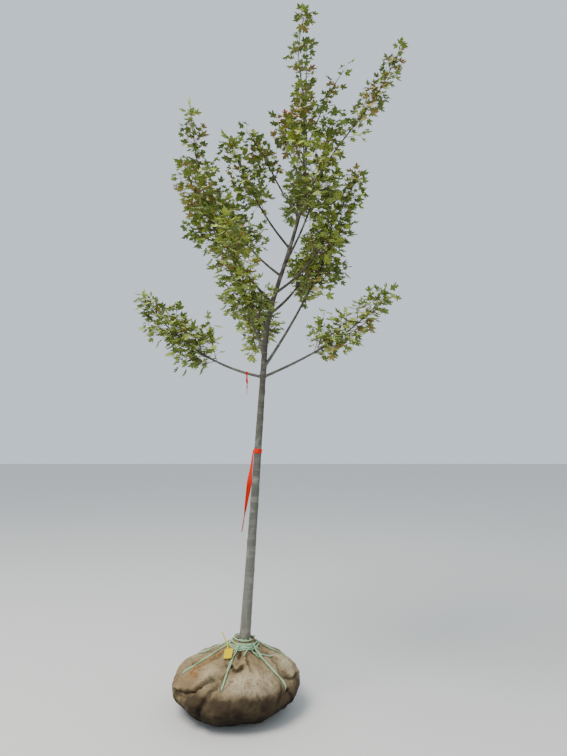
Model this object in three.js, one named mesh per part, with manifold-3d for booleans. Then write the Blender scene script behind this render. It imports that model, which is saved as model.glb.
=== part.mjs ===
// A young maple dug from a nursery field, standing on its burlapped root ball.
// Millimetres, +Z up. The origin is the middle of the flat underside of the ball.
// The trunk rises out of the gathered neck of the burlap, bends to the right in the crown and ends
// at its fork. Boughs leave it all round, and each carries one mass of twigs and leaves.
import * as THREE from "three";
import { mergeVertices } from "three/addons/utils/BufferGeometryUtils.js";
import Module from "manifold-3d";

const wasm = await Module();
wasm.setup();

// Clearances
const GAP = 0.3; // between pieces that touch on the real tree
const SHORTEST_EDGE = 0.02; // shorter edges, left where pieces are joined, are closed up
const GRID = 0.004; // that every corner is rounded to
const LEAF_CLEARANCE = 16; // between the middle of a leaf or twig and the bark of any limb
const SPACE_MARGIN = 10; // how much nearer a leaf is to its own stem than to any other

// Root ball: rings from the flat underside to the rim of the gathered neck
const BALL_SIDES = 37;
const BALL_PROFILE = [
  { radius: 182, height: 0 },
  { radius: 248, height: 20 },
  { radius: 308, height: 58 },
  { radius: 345, height: 106 },
  { radius: 349, height: 152 },
  { radius: 322, height: 198 },
  { radius: 270, height: 236 },
  { radius: 204, height: 268 },
  { radius: 140, height: 295 },
  { radius: 90, height: 321 },
  { radius: 60, height: 350 },
  { radius: 50, height: 370 },
];
const BALL_TOP = BALL_PROFILE.length - 1;
const NECK_HEIGHT = BALL_PROFILE[BALL_TOP].height;

// Trunk
const TRUNK_FOOT = { x: 42, y: 0, z: 300 }; // the flat cut, inside the burlap neck
const FORK_HEIGHT = 3410;
const TRUNK_SIDES = 12;
const TRUNK_FOOT_RADIUS = 31;
const TRUNK_FORK_RADIUS = 6.5;
const TRUNK_TAPER_POWER = 1.12;
const FLARE = { radius: 9, height: 55, steps: 4 }; // the root flare just above the cut
const FLARE_TOP = 460;
const STEM_STEPS = 17; // along the trunk above the flare
const TRUNK_LEAN = [
  // lean of the trunk's axis in degrees, towards +X (right) and +Y (back)
  { height: 300, right: 4, back: 0.6 },
  { height: 1000, right: 3.7, back: 0.6 },
  { height: 2000, right: 3.6, back: 0.4 },
  { height: 2150, right: 7, back: -1 },
  { height: 2300, right: 15, back: -1.5 },
  { height: 2450, right: 18.5, back: -1.5 },
  { height: 2800, right: 15.5, back: 1 },
  { height: 2930, right: 13, back: 1.5 },
  { height: 3030, right: 4, back: 1.5 },
  { height: 3410, right: -1, back: 0 },
];

// Boughs: height is where one leaves the trunk, azimuth runs anticlockwise from +X seen from above,
// spread is the angle from upright at the base, middle and tip, and sweep turns it sideways.
// A bough is bare for a share of its length, and the rest is the stem of its mass of leaves.
// Bush is the length of the longest side twigs as a share of the whole.
const BOUGHS = [
  ["low_left", 1862, 184, 860, [80, 56, 38], -4, 0.24, 0.3],
  ["low_right", 1862, 344, 880, [70, 60, 38], 14, 0.28, 0.3],
  ["right", 1918, 12, 1110, [34, 27, 24], 4, 0.35, 0.26],
  ["low_back", 1975, 100, 860, [68, 52, 34], -12, 0.24, 0.3],
  ["low_front", 2030, 252, 860, [68, 50, 32], 8, 0.2, 0.31],
  ["left_tall", 2155, 177, 1480, [38, 17, 6], 0, 0.46, 0.14],
  ["back_right", 2245, 52, 980, [58, 42, 26], 10, 0.26, 0.3],
  ["front_left", 2310, 222, 920, [58, 42, 26], -8, 0.24, 0.3],
  ["right_inner", 2375, 350, 860, [60, 28, 30], 0, 0.28, 0.28],
  ["back_left", 2480, 138, 900, [54, 40, 24], 8, 0.26, 0.3],
  ["front_right", 2560, 304, 820, [54, 38, 24], -8, 0.24, 0.3],
  ["left_inner", 2650, 206, 700, [48, 32, 24], 0, 0.26, 0.3],
  ["back_high", 2755, 82, 680, [44, 28, 18], 0, 0.24, 0.3],
  ["left_high", 2848, 174, 660, [34, 25, 35], 0, 0.3, 0.24],
  ["right_high", 2945, 2, 1210, [28, 38, 21], 0, 0.34, 0.12],
  ["front_high", 3000, 268, 560, [42, 28, 18], 0, 0.24, 0.3],
  ["left_top", 3050, 190, 430, [28, 22, 17], 0, 0.28, 0.3],
  ["back_top", 3165, 118, 470, [38, 24, 16], 0, 0.24, 0.3],
  ["right_top", 3285, 4, 590, [20, 22, 32], 0, 0.26, 0.14],
  ["twin_leader", 3345, 84, 690, [17, 3, 0], 0, 0.16, 0.1],
].map(([name, height, azimuth, length, spread, sweep, bare, bush]) => {
  return { name, height, azimuth, length, spread, sweep, bare, bush };
});
const LEADER = {
  name: "leader",
  height: FORK_HEIGHT,
  azimuth: 190,
  length: 765,
  spread: [1, 9, -16],
  sweep: 0,
  bare: 0,
  bush: 0.1,
};
const LIMB_STEPS = 24;
const BOUGH_STEPS = 6;
const BOUGH_SIDES = 6;
const BOUGH_RADIUS = { base: 3.4, perMetre: 5.6, shareOfTrunk: 0.62 };
const LIMB_TIP_RADIUS = 1.7;
const COLLAR_SWELL = { share: 0.4, length: 22 }; // the swollen branch collar at the trunk

// Masses of leaves
const STEM_SIDES = 4;
const TWIG_SIDES = 3;
const TWIG_RADIUS = { base: 2.4, tip: 1.5 };
const STEM_NODE_SPACING = 140; // between the pairs of twigs or leaves along a stem
const TWIG_NODE_SPACING = 150; // between the pairs of leaves along a twig
const SHORTEST_TWIG = 130; // a shorter twig is one leaf on the stem
const TWIG_ANGLE = 48; // degrees between a stem and its twig
const TWIG_RISE = 0.55; // how far a twig turns up half way along
const LEAF = { root: 0.37, length: 128, width: 104, thickness: 2.6, widest: 0.5, ridge: 0.28 };
const LEAF_STAGGER = 9; // between the stalks of a pair, along the twig
const LEAF_ANGLE = 60; // degrees between a twig and its leaf stalk
const LEAF_DROOP = 0.28;
const LEAF_TURNS = [0, 0.6, -0.6, 1.2, -1.2]; // tried in turn until the leaf fits its space
const LAST_LEAVES = [
  // the leaves at the tip of a stem
  { turn: 0, angle: 8 },
  { turn: Math.PI / 2, angle: 50 },
  { turn: -Math.PI / 2, angle: 50 },
];

// Twine laced over the burlap, each doubled strand running down one column of the ball
const STRANDS = [
  { column: 1, end: 3 },
  { column: 6, end: 3 },
  { column: 11, end: 3 },
  { column: 15, end: 3 },
  { column: 19, end: 5 },
  { column: 26, end: 5 },
  { column: 33, end: 4 },
];
const STRAND = { lift: 0.9, width: 15, crown: 8, thickness: 7 };
const WRAP = { place: 9.7, lift: 1.2, thickness: 8, height: 21 }; // the turns round the neck
const KNOT = { column: 31, radius: 15 };

// Tag and ribbons
const TAG = { width: 56, length: 52, thickness: 1.6, lean: 34, column: 24.2, place: 8.5 };
const TAG_STRAP = { width: 8, length: 104, lean: 62, aside: 24 };
const BAND = { height: 1424, width: 26, thickness: 1.4 };
const TAPE_THICKNESS = 1.2;
const TRUNK_TAIL = { width: 28, length: 452, azimuth: 150, drift: { x: -68, y: 16 }, turns: 0.42, steps: 9 };
const BOUGH_RIBBON = { along: 0.115, width: 13, length: 118, drift: { x: 2, y: 4 }, turns: 0.3, steps: 5 };

const radians = THREE.MathUtils.degToRad;
const lerp = THREE.MathUtils.lerp;
const UP = new THREE.Vector3(0, 0, 1);

// The same stream of numbers from 0 to 1 for the same seed.
function seededRandom(seed) {
  let state = seed >>> 0;
  return () => {
    state = (state + 0x6d2b79f5) >>> 0;
    let mixed = state;
    mixed = Math.imul(mixed ^ (mixed >>> 15), mixed | 1);
    mixed ^= mixed + Math.imul(mixed ^ (mixed >>> 7), mixed | 61);
    return ((mixed ^ (mixed >>> 14)) >>> 0) / 4294967296;
  };
}

// A value between the rows of a table that is sorted by height.
function fromTable(rows, height, key) {
  const above = rows.findIndex((row) => row.height >= height);
  if (above <= 0) return above === 0 ? rows[0][key] : rows[rows.length - 1][key];
  const low = rows[above - 1];
  const high = rows[above];
  return lerp(low[key], high[key], (height - low.height) / (high.height - low.height));
}

function geometryOf(points, faces) {
  const geometry = new THREE.BufferGeometry();
  const positions = points.flatMap((point) => [point.x, point.y, point.z]);
  geometry.setAttribute("position", new THREE.Float32BufferAttribute(positions, 3));
  geometry.setIndex(faces);
  return geometry;
}

function solidFrom(geometry) {
  const bare = geometry.index ? geometry.toNonIndexed() : geometry.clone();
  bare.deleteAttribute("normal");
  bare.deleteAttribute("uv");
  const merged = mergeVertices(bare, 1e-4);
  const mesh = new wasm.Mesh({
    numProp: 3,
    vertProperties: merged.attributes.position.array,
    triVerts: new Uint32Array(merged.index.array),
  });
  return new wasm.Manifold(mesh);
}

// The surface of a solid with its corners rounded to the grid. Faces that this flattens away are
// dropped, and so are pairs of faces that it lays back to back.
function geometryFrom(solid) {
  const mesh = solid.simplify(SHORTEST_EDGE).getMesh();
  const snap = (value) => Math.round(value / GRID) * GRID;
  const points = Array.from({ length: mesh.numVert }, (_, i) => {
    const start = i * mesh.numProp;
    return new THREE.Vector3(...mesh.vertProperties.subarray(start, start + 3).map(snap));
  });
  const rounded = mergeVertices(geometryOf(points, Array.from(mesh.triVerts)), GRID / 4);
  const corners = Array.from(rounded.index.array);
  const faces = new Map();
  for (let i = 0; i < corners.length; i += 3) {
    const face = corners.slice(i, i + 3);
    const key = face.toSorted((a, b) => a - b).join();
    if (faces.has(key)) faces.delete(key);
    else if (new Set(face).size === 3) faces.set(key, face);
  }
  rounded.setIndex([...faces.values()].flat());
  return rounded;
}

// The largest body of a solid, so that no loose scrap of a cut is kept.
function largestBody(solid) {
  return solid.decompose().reduce((best, body) => (body.volume() > best.volume() ? body : best));
}

// Two directions square to an axis that don't turn suddenly from one axis to the next.
function crossAxes(axis) {
  const reference = Math.abs(axis.x) > 0.9 ? new THREE.Vector3(0, 1, 0) : new THREE.Vector3(1, 0, 0);
  const second = new THREE.Vector3().crossVectors(axis, reference).normalize();
  const first = new THREE.Vector3().crossVectors(second, axis).normalize();
  return [first, second];
}

// A point beside an axis, at a turn round it.
function beside(point, axis, turn, radius) {
  const [first, second] = crossAxes(axis);
  return point
    .clone()
    .addScaledVector(first, radius * Math.cos(turn))
    .addScaledVector(second, radius * Math.sin(turn));
}

// A closed surface through rings of as many points each, anticlockwise about the way the rings go.
// The first and last rings are filled flat, unless the rings close on themselves.
function loft(rings, closed = false) {
  const sides = rings[0].length;
  const faces = [];
  for (let k = 0; k + (closed ? 0 : 1) < rings.length; k++) {
    const above = ((k + 1) % rings.length) * sides;
    for (let i = 0; i < sides; i++) {
      const next = (i + 1) % sides;
      faces.push(k * sides + i, k * sides + next, above + next);
      faces.push(k * sides + i, above + next, above + i);
    }
  }
  const last = (rings.length - 1) * sides;
  for (let i = 1; !closed && i + 1 < sides; i++) {
    faces.push(0, i + 1, i);
    faces.push(last, last + i, last + i + 1);
  }
  return solidFrom(geometryOf(rings.flat(), faces));
}

// A tapered rod through stations, each with a point, the way the axis runs there and a radius.
function rod(stations, sides) {
  return loft(
    stations.map(({ point, way, radius }) =>
      Array.from({ length: sides }, (_, i) => beside(point, way, (2 * Math.PI * i) / sides, radius)),
    ),
  );
}

// Trunk: its lean and radius by height, and the stations that its faces run between

function trunkWay(height) {
  const right = Math.tan(radians(fromTable(TRUNK_LEAN, height, "right")));
  const back = Math.tan(radians(fromTable(TRUNK_LEAN, height, "back")));
  return new THREE.Vector3(right, back, 1);
}

function trunkRadius(height) {
  const share = (height - TRUNK_FOOT.z) / (FORK_HEIGHT - TRUNK_FOOT.z);
  const taper = (TRUNK_FOOT_RADIUS - TRUNK_FORK_RADIUS) * (1 - share) ** TRUNK_TAPER_POWER;
  const flare = FLARE.radius * Math.exp(-(height - TRUNK_FOOT.z) / FLARE.height);
  return TRUNK_FORK_RADIUS + taper + flare;
}

function trunkStations() {
  const heights = [
    ...Array.from({ length: FLARE.steps }, (_, i) => lerp(TRUNK_FOOT.z, FLARE_TOP, i / FLARE.steps)),
    ...Array.from({ length: STEM_STEPS + 1 }, (_, i) => lerp(FLARE_TOP, FORK_HEIGHT, i / STEM_STEPS)),
  ];
  const point = new THREE.Vector3(TRUNK_FOOT.x, TRUNK_FOOT.y, TRUNK_FOOT.z);
  return heights.map((height, i) => {
    const from = heights[Math.max(0, i - 1)];
    const slices = 8;
    for (let slice = 0; slice < slices; slice++) {
      const middle = lerp(from, height, (slice + 0.5) / slices);
      point.addScaledVector(trunkWay(middle), (height - from) / slices);
    }
    return { point: point.clone(), way: trunkWay(height).normalize(), radius: trunkRadius(height) };
  });
}
const TRUNK = trunkStations();

// The trunk at any height, on the straight line between the stations next to it.
function trunkAt(height, extra = 0) {
  const above = Math.max(1, TRUNK.findIndex(({ point }) => point.z >= height - 1e-6));
  const low = TRUNK[above - 1];
  const high = TRUNK[above];
  const share = (height - low.point.z) / (high.point.z - low.point.z);
  return {
    point: low.point.clone().lerp(high.point, share),
    way: low.way.clone().lerp(high.way, share).normalize(),
    radius: lerp(low.radius, high.radius, share) + extra,
  };
}

// The trunk grown by a clearance all over, which is what its neighbours are cut by.
function grownTrunk(extra) {
  const last = TRUNK.length - 1;
  const stations = TRUNK.map(({ point, way, radius }, i) => {
    const shift = { 0: -extra, [last]: extra }[i] ?? 0;
    return { point: point.clone().addScaledVector(way, shift), way, radius: radius + extra };
  });
  return rod(stations, TRUNK_SIDES);
}
const TRUNK_CLEAR = grownTrunk(GAP);

// Limbs: the axis of each runs from the middle of the trunk to the tip of its stem of leaves

function limbAxis({ height, azimuth, length, spread, sweep }) {
  const points = [trunkAt(height).point];
  const step = length / LIMB_STEPS;
  for (let i = 0; i < LIMB_STEPS; i++) {
    const share = (i + 0.5) / LIMB_STEPS;
    const [base, middle, tip] = spread;
    const lean = radians(share < 0.5 ? lerp(base, middle, 2 * share) : lerp(middle, tip, 2 * share - 1));
    const turn = radians(azimuth + sweep * share);
    const outward = new THREE.Vector3(Math.cos(turn), Math.sin(turn), 0);
    const last = points[i].clone();
    last.addScaledVector(outward, step * Math.sin(lean)).addScaledVector(UP, step * Math.cos(lean));
    points.push(last);
  }
  return points;
}

function limbPoint(axis, share) {
  const place = THREE.MathUtils.clamp(share, 0, 1) * LIMB_STEPS;
  const index = Math.min(LIMB_STEPS - 1, Math.floor(place));
  return axis[index].clone().lerp(axis[index + 1], place - index);
}

function limbWay(axis, share) {
  return limbPoint(axis, share + 0.03).sub(limbPoint(axis, share - 0.03)).normalize();
}

function limbRadius(limb, share) {
  if (limb === LEADER) return lerp(TRUNK_FORK_RADIUS, LIMB_TIP_RADIUS, share ** 0.8);
  const widest = BOUGH_RADIUS.shareOfTrunk * trunkRadius(limb.height);
  const base = Math.min(widest, BOUGH_RADIUS.base + (BOUGH_RADIUS.perMetre * limb.length) / 1000);
  const swell = 1 + COLLAR_SWELL.share * Math.exp((-share * limb.length) / COLLAR_SWELL.length);
  return (LIMB_TIP_RADIUS + (base - LIMB_TIP_RADIUS) * (1 - share) ** 0.9) * swell;
}

function limbStations({ limb, axis }, from, to, steps, extra = 0) {
  return Array.from({ length: steps + 1 }, (_, i) => {
    const share = lerp(from, to, i / steps);
    const radius = limbRadius(limb, share) + extra;
    return { point: limbPoint(axis, share), way: limbWay(axis, share), radius };
  });
}

const GROWN = [...BOUGHS, LEADER].map((limb, index) => ({ limb, index, axis: limbAxis(limb) }));

// Root ball: places on the burlap run from 0 at the underside's edge to BALL_TOP at the rim of the
// neck, and columns run anticlockwise round it from +X. The neck is gathered round the trunk.

function ballPoint(column, place, grow = 0) {
  const azimuth = (2 * Math.PI * column) / BALL_SIDES;
  const index = Math.min(BALL_TOP - 1, Math.floor(place));
  const low = BALL_PROFILE[index];
  const high = BALL_PROFILE[index + 1];
  const radius = lerp(low.radius, high.radius, place - index);
  const height = lerp(low.height, high.height, place - index);
  const shoulder = Math.sin((Math.PI * place) / BALL_TOP) ** 2;
  const uneven = 0.016 * Math.cos(2 * azimuth + 0.6) - 0.008 * Math.cos(azimuth);
  const lobes = uneven + 0.014 * Math.cos(3 * azimuth - 1.1);
  const folds = 0.012 * Math.cos(7 * azimuth + 0.4) * shoulder;
  const settled = (9 * Math.cos(azimuth - 0.1) + 4 * Math.cos(5 * azimuth)) * shoulder;
  const reach = radius * (1 + lobes + folds) + grow;
  const middle = trunkAt(Math.max(height, TRUNK_FOOT.z)).point.multiplyScalar((height / NECK_HEIGHT) ** 3);
  return new THREE.Vector3(
    middle.x + reach * Math.cos(azimuth),
    middle.y + reach * Math.sin(azimuth),
    height + settled + (place > 0 ? grow * shoulder : -grow),
  );
}

function ballSolid(grow) {
  return loft(
    Array.from({ length: BALL_TOP + 1 }, (_, place) =>
      Array.from({ length: BALL_SIDES }, (_, column) => ballPoint(column, place, grow)),
    ),
  );
}
const BALL = ballSolid(0).subtract(TRUNK_CLEAR);
const BALL_CLEAR = ballSolid(GAP + 0.1);

// The outward direction of the burlap at a column and place.
function ballOut(column, place) {
  const around = ballPoint(column + 0.5, place).sub(ballPoint(column - 0.5, place));
  const up = ballPoint(column, Math.min(BALL_TOP, place + 0.3)).sub(ballPoint(column, place - 0.3));
  return around.cross(up).normalize();
}

// Twine

// A flattened strand down one column, along the middles of the edges and diagonals of its faces.
// Its lower end dives into a pleat of the burlap.
function strandSolid({ column, end }) {
  const steps = 2 * (BALL_TOP - 1 - end);
  return loft(
    Array.from({ length: steps + 1 }, (_, i) => {
      const left = ballPoint(column, Math.floor(BALL_TOP - 1 - i / 2));
      const right = ballPoint(column + 1, Math.ceil(BALL_TOP - 1 - i / 2));
      const place = BALL_TOP - 1 - i / 2;
      const across = ballPoint(column + 1, place).sub(ballPoint(column, place)).normalize();
      const middle = left.add(right).multiplyScalar(0.5);
      const out = ballOut(column + 0.5, place);
      const lift = i === steps ? -STRAND.thickness : STRAND.lift;
      const full = i === 0 ? 0.5 : 1;
      return [
        [-STRAND.width / 2, 0],
        [STRAND.width / 2, 0],
        [STRAND.crown / 2, STRAND.thickness],
        [-STRAND.crown / 2, STRAND.thickness],
      ].map(([x, y]) => {
        return middle.clone().addScaledVector(across, x * full).addScaledVector(out, lift + y * full);
      });
    }),
  );
}

// The turns round the neck as one band, with a corner at each column of the ball.
function wrapSolid() {
  const rings = Array.from({ length: BALL_SIDES }, (_, column) => {
    const out = ballOut(column, WRAP.place);
    const seat = ballPoint(column, WRAP.place).addScaledVector(out, WRAP.lift);
    const along = new THREE.Vector3().crossVectors(UP, out).normalize();
    const up = new THREE.Vector3().crossVectors(out, along);
    return [
      [0, 0.5],
      [1, 0.3],
      [1, -0.3],
      [0, -0.5],
    ].map(([x, y]) => {
      return seat.clone().addScaledVector(out, WRAP.thickness * x).addScaledVector(up, WRAP.height * y);
    });
  });
  return loft(rings, true);
}

function twineSolid() {
  const knotOut = ballOut(KNOT.column, WRAP.place);
  const knotSeat = ballPoint(KNOT.column, WRAP.place).addScaledVector(knotOut, KNOT.radius * 0.6);
  const knot = new THREE.IcosahedronGeometry(KNOT.radius, 1).translate(...knotSeat);
  const pieces = [wrapSolid(), ...STRANDS.map(strandSolid), solidFrom(knot)];
  return largestBody(wasm.Manifold.union(pieces).subtract(BALL_CLEAR));
}

// Tag: a plate that stands on its lower edge by the neck and leans in, with a strap from its upper edge.
// It is lowered along the burlap's own direction until it rests a gap above it.
function tagSolid() {
  const plate = new THREE.BoxGeometry(TAG.width, TAG.length, TAG.thickness);
  plate.rotateX(radians(TAG.lean));
  const strap = new THREE.BoxGeometry(TAG_STRAP.width, TAG_STRAP.length, TAG.thickness);
  strap.translate(0, TAG_STRAP.length / 2, 0);
  strap.rotateX(radians(TAG_STRAP.lean));
  strap.rotateY(radians(-TAG_STRAP.aside));
  const reach = TAG.length / 2 - TAG.thickness;
  strap.translate(-TAG.width * 0.2, reach * Math.cos(radians(TAG.lean)), reach * Math.sin(radians(TAG.lean)));
  const out = ballOut(TAG.column, TAG.place);
  const uphill = ballPoint(TAG.column, TAG.place + 0.4).sub(ballPoint(TAG.column, TAG.place)).normalize();
  const across = new THREE.Vector3().crossVectors(uphill, out).normalize();
  const placed = new THREE.Matrix4().makeBasis(across, new THREE.Vector3().crossVectors(out, across), out);
  placed.setPosition(ballPoint(TAG.column, TAG.place).addScaledVector(out, 20));
  const lifted = solidFrom(plate).add(solidFrom(strap)).transform(placed.toArray());
  const drop = lifted.minGap(BALL, 40) - GAP;
  return lifted.translate(out.clone().multiplyScalar(-drop).toArray());
}

// Ribbons

// A strip of tape that hangs from a point and turns on the way down.
function tapeSolid(start, { drift, width, length, turns, steps }, firstTurn) {
  const rings = Array.from({ length: steps + 1 }, (_, k) => {
    const share = k / steps;
    const turn = firstTurn + 2 * Math.PI * turns * share;
    const wide = new THREE.Vector3(Math.cos(turn), Math.sin(turn), 0);
    const thick = new THREE.Vector3(Math.sin(turn), -Math.cos(turn), 0);
    const half = (width / 2) * (0.5 + 0.5 * Math.sin(Math.PI * (0.15 + share * 0.75)));
    const centre = start.clone().addScaledVector(UP, -length * share);
    centre.addScaledVector(new THREE.Vector3(drift.x, drift.y, 0), share ** 1.15);
    return [
      [1, 1],
      [1, -1],
      [-1, -1],
      [-1, 1],
    ].map(([a, b]) => {
      return centre.clone().addScaledVector(wide, half * a).addScaledVector(thick, (TAPE_THICKNESS / 2) * b);
    });
  });
  return loft(rings.reverse());
}

// The band tied round the trunk, with its long tail hanging behind it.
function trunkRibbon() {
  const ends = [BAND.height - BAND.width / 2, BAND.height + BAND.width / 2];
  const band = rod(
    ends.map((height) => trunkAt(height, GAP + BAND.thickness)),
    TRUNK_SIDES,
  );
  const angle = radians(TRUNK_TAIL.azimuth);
  const { point, way, radius } = trunkAt(BAND.height, GAP + BAND.thickness / 2);
  const start = beside(point, way, angle, radius).addScaledVector(UP, BAND.width / 2 - 2);
  const tail = tapeSolid(start, TRUNK_TAIL, angle + Math.PI / 2);
  return largestBody(band.add(tail).subtract(TRUNK_CLEAR));
}

// The short ribbon tied to the lowest bough on the left.
function boughRibbon(grown) {
  const half = BOUGH_RIBBON.width / 2 / grown.limb.length;
  const from = BOUGH_RIBBON.along - half;
  const to = BOUGH_RIBBON.along + half;
  const band = rod(limbStations(grown, from, to, 1, GAP + TAPE_THICKNESS), BOUGH_SIDES);
  const { point, radius } = limbStations(grown, BOUGH_RIBBON.along, 1, 1)[0];
  const tail = tapeSolid(point.addScaledVector(UP, -radius / 2), BOUGH_RIBBON, 0);
  const cutter = rod(limbStations(grown, 0, grown.limb.bare, BOUGH_STEPS, GAP), BOUGH_SIDES);
  return largestBody(band.add(tail).subtract(cutter));
}

// Foliage

// Places along the wood, each with its radius, which leaves and twigs keep clear of.
const WOOD = [
  ...Array.from({ length: 90 }, (_, i) => trunkAt(lerp(1700, FORK_HEIGHT, i / 89))),
  ...GROWN.flatMap((grown) => limbStations(grown, 0, grown.limb.bare, 14)),
];

// Places along the stem of each mass. A mass's own space is what lies nearer to its stem than to others.
const STEMS = GROWN.map((grown) => limbStations(grown, grown.limb.bare, 1, 14).map(({ point }) => point));

function inOwnSpace(index, point) {
  const clear = WOOD.every((wood) => wood.point.distanceTo(point) > wood.radius + LEAF_CLEARANCE);
  if (!clear) return false;
  const nearest = STEMS.map((stem) => Math.min(...stem.map((place) => place.distanceTo(point))));
  return nearest.every((distance, other) => other === index || distance > nearest[index] + SPACE_MARGIN);
}

function leafPoint({ base, along, side, face }, forward, sideways, up) {
  return base
    .clone()
    .addScaledVector(along, forward * LEAF.length)
    .addScaledVector(side, (sideways * LEAF.width) / 2)
    .addScaledVector(face, (up * LEAF.thickness) / 2);
}

// A leaf with its stalk, as a thin blade of eight faces that starts at the middle of the twig.
function leafSolid(leaf) {
  const corners = [
    leafPoint(leaf, LEAF.root / LEAF.length, 0, 0),
    leafPoint(leaf, LEAF.widest, 1, 0),
    leafPoint(leaf, 1, 0, 0),
    leafPoint(leaf, LEAF.widest, -1, 0),
    leafPoint(leaf, LEAF.ridge, 0, 1),
    leafPoint(leaf, LEAF.ridge, 0, -1),
  ];
  const faces = [4, 1, 0, 4, 2, 1, 4, 3, 2, 4, 0, 3, 5, 0, 1, 5, 1, 2, 5, 2, 3, 5, 3, 0];
  return solidFrom(geometryOf(corners, faces));
}

function leafFits(index, leaf) {
  const places = [
    [0.25, 0],
    [0.5, 0],
    [0.5, 1],
    [0.5, -1],
    [0.75, 0],
    [1, 0],
  ];
  return places.every(([forward, sideways]) => inOwnSpace(index, leafPoint(leaf, forward, sideways, 0)));
}

// A leaf that stands off an axis at a turn round it, drooping a little, its face mostly upward.
// It's turned aside where it would leave its mass's space, and left out where no turn helps.
function leavesOn(index, base, axis, turn, angle, random) {
  const droop = LEAF_DROOP * (0.6 + 0.8 * random());
  const tilt = new THREE.Vector3(random() - 0.5, random() - 0.5, 0).multiplyScalar(0.7);
  const tried = LEAF_TURNS.map((aside) => {
    const outward = beside(new THREE.Vector3(), axis, turn + aside, 1);
    const along = axis.clone().multiplyScalar(Math.cos(angle)).addScaledVector(outward, Math.sin(angle));
    along.addScaledVector(UP, -droop).normalize();
    const upward = UP.clone().addScaledVector(outward, 0.35).add(tilt);
    const side = new THREE.Vector3().crossVectors(upward, along).normalize();
    const face = new THREE.Vector3().crossVectors(along, side).normalize();
    return { base, along, side, face };
  });
  return tried.filter((leaf) => leafFits(index, leaf)).slice(0, 1);
}

// The side twigs of a mass: pairs on opposite sides of the stem, each pair square to the last.
function sideTwigs({ limb, index, axis }) {
  const stemLength = limb.length * (1 - limb.bare);
  const nodes = Math.floor(stemLength / STEM_NODE_SPACING - 0.4);
  return Array.from({ length: 2 * nodes }, (_, i) => {
    const node = Math.floor(i / 2);
    const random = seededRandom(1000 * (index + 1) + 10 * node + (i % 2));
    const along = (STEM_NODE_SPACING * (node + 0.6) + LEAF_STAGGER * (i % 2)) / stemLength;
    const share = lerp(limb.bare, 1, along);
    const turn = index * 0.7 + (node % 2) * (Math.PI / 2) + (i % 2) * Math.PI + (random() - 0.5) * 0.7;
    const length = limb.bush * limb.length * (1 - along) ** 0.7 * (0.8 + 0.45 * random());
    return { base: limbPoint(axis, share), stemWay: limbWay(axis, share), turn, length, random };
  });
}

// A twig's axis: straight out from the stem, then turning up half way.
function twigAxis({ base, stemWay, turn }, length) {
  const angle = radians(TWIG_ANGLE);
  const outward = beside(new THREE.Vector3(), stemWay, turn, 1);
  const start = stemWay.clone().multiplyScalar(Math.cos(angle)).addScaledVector(outward, Math.sin(angle));
  const finish = start.clone().addScaledVector(UP, TWIG_RISE).normalize();
  const middle = base.clone().addScaledVector(start, length / 2);
  const tip = middle.clone().addScaledVector(finish, length / 2);
  return { base, middle, tip, start, finish };
}

function twigSolid({ base, middle, tip, start, finish }) {
  const half = (TWIG_RADIUS.base + TWIG_RADIUS.tip) / 2;
  const bend = start.clone().add(finish).normalize();
  const stations = [
    { point: base, way: start, radius: TWIG_RADIUS.base },
    { point: middle, way: bend, radius: half },
    { point: tip, way: finish, radius: TWIG_RADIUS.tip },
  ];
  return rod(stations, TWIG_SIDES);
}

// The leaves of one twig: pairs along it and one at its tip.
function twigLeaves(index, axis, length, turn, random) {
  const { base, middle, tip, start, finish } = axis;
  const pairs = Math.max(1, Math.round(length / TWIG_NODE_SPACING) - 1);
  const leaves = [];
  for (let i = 0; i < 2 * pairs; i++) {
    const pair = Math.floor(i / 2);
    const share = (pair + 0.85) / (pairs + 0.6);
    const [from, to, way] = share < 0.5 ? [base, middle, start] : [middle, tip, finish];
    const place = from.clone().lerp(to, share < 0.5 ? 2 * share : 2 * share - 1);
    place.addScaledVector(way, (i % 2) * LEAF_STAGGER);
    const leafTurn = turn + (pair % 2) * (Math.PI / 2) + (i % 2) * Math.PI;
    leaves.push(...leavesOn(index, place, way, leafTurn, radians(LEAF_ANGLE), random));
  }
  const last = tip.clone().addScaledVector(finish, -4);
  leaves.push(...leavesOn(index, last, finish, turn, radians(12), random));
  return leaves;
}

// One mass: its stem, the side twigs that fit its space, and leaves in pairs along them.
function massSolid(grown) {
  const { limb, index, axis } = grown;
  const pieces = [rod(limbStations(grown, limb.bare + GAP / limb.length, 1, 5), STEM_SIDES)];
  const leaves = [];
  for (const twig of sideTwigs(grown)) {
    const fits = (length) => {
      const { middle, tip } = twigAxis(twig, length);
      return length >= SHORTEST_TWIG && inOwnSpace(index, middle) && inOwnSpace(index, tip);
    };
    const length = [1, 0.75, 0.5].map((share) => share * twig.length).find(fits);
    if (length) {
      const grownTwig = twigAxis(twig, length);
      pieces.push(twigSolid(grownTwig));
      leaves.push(...twigLeaves(index, grownTwig, length, twig.turn, twig.random));
    } else {
      const { base, stemWay, turn, random } = twig;
      leaves.push(...leavesOn(index, base, stemWay, turn, radians(LEAF_ANGLE), random));
    }
  }
  const random = seededRandom(77 + index);
  const way = limbWay(axis, 1);
  LAST_LEAVES.forEach(({ turn, angle }, i) => {
    const place = limbPoint(axis, 1).addScaledVector(way, -4 - i * LEAF_STAGGER);
    leaves.push(...leavesOn(index, place, way, index + turn, radians(angle), random));
  });
  return largestBody(wasm.Manifold.union([...pieces, ...leaves.map(leafSolid)]));
}

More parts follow.
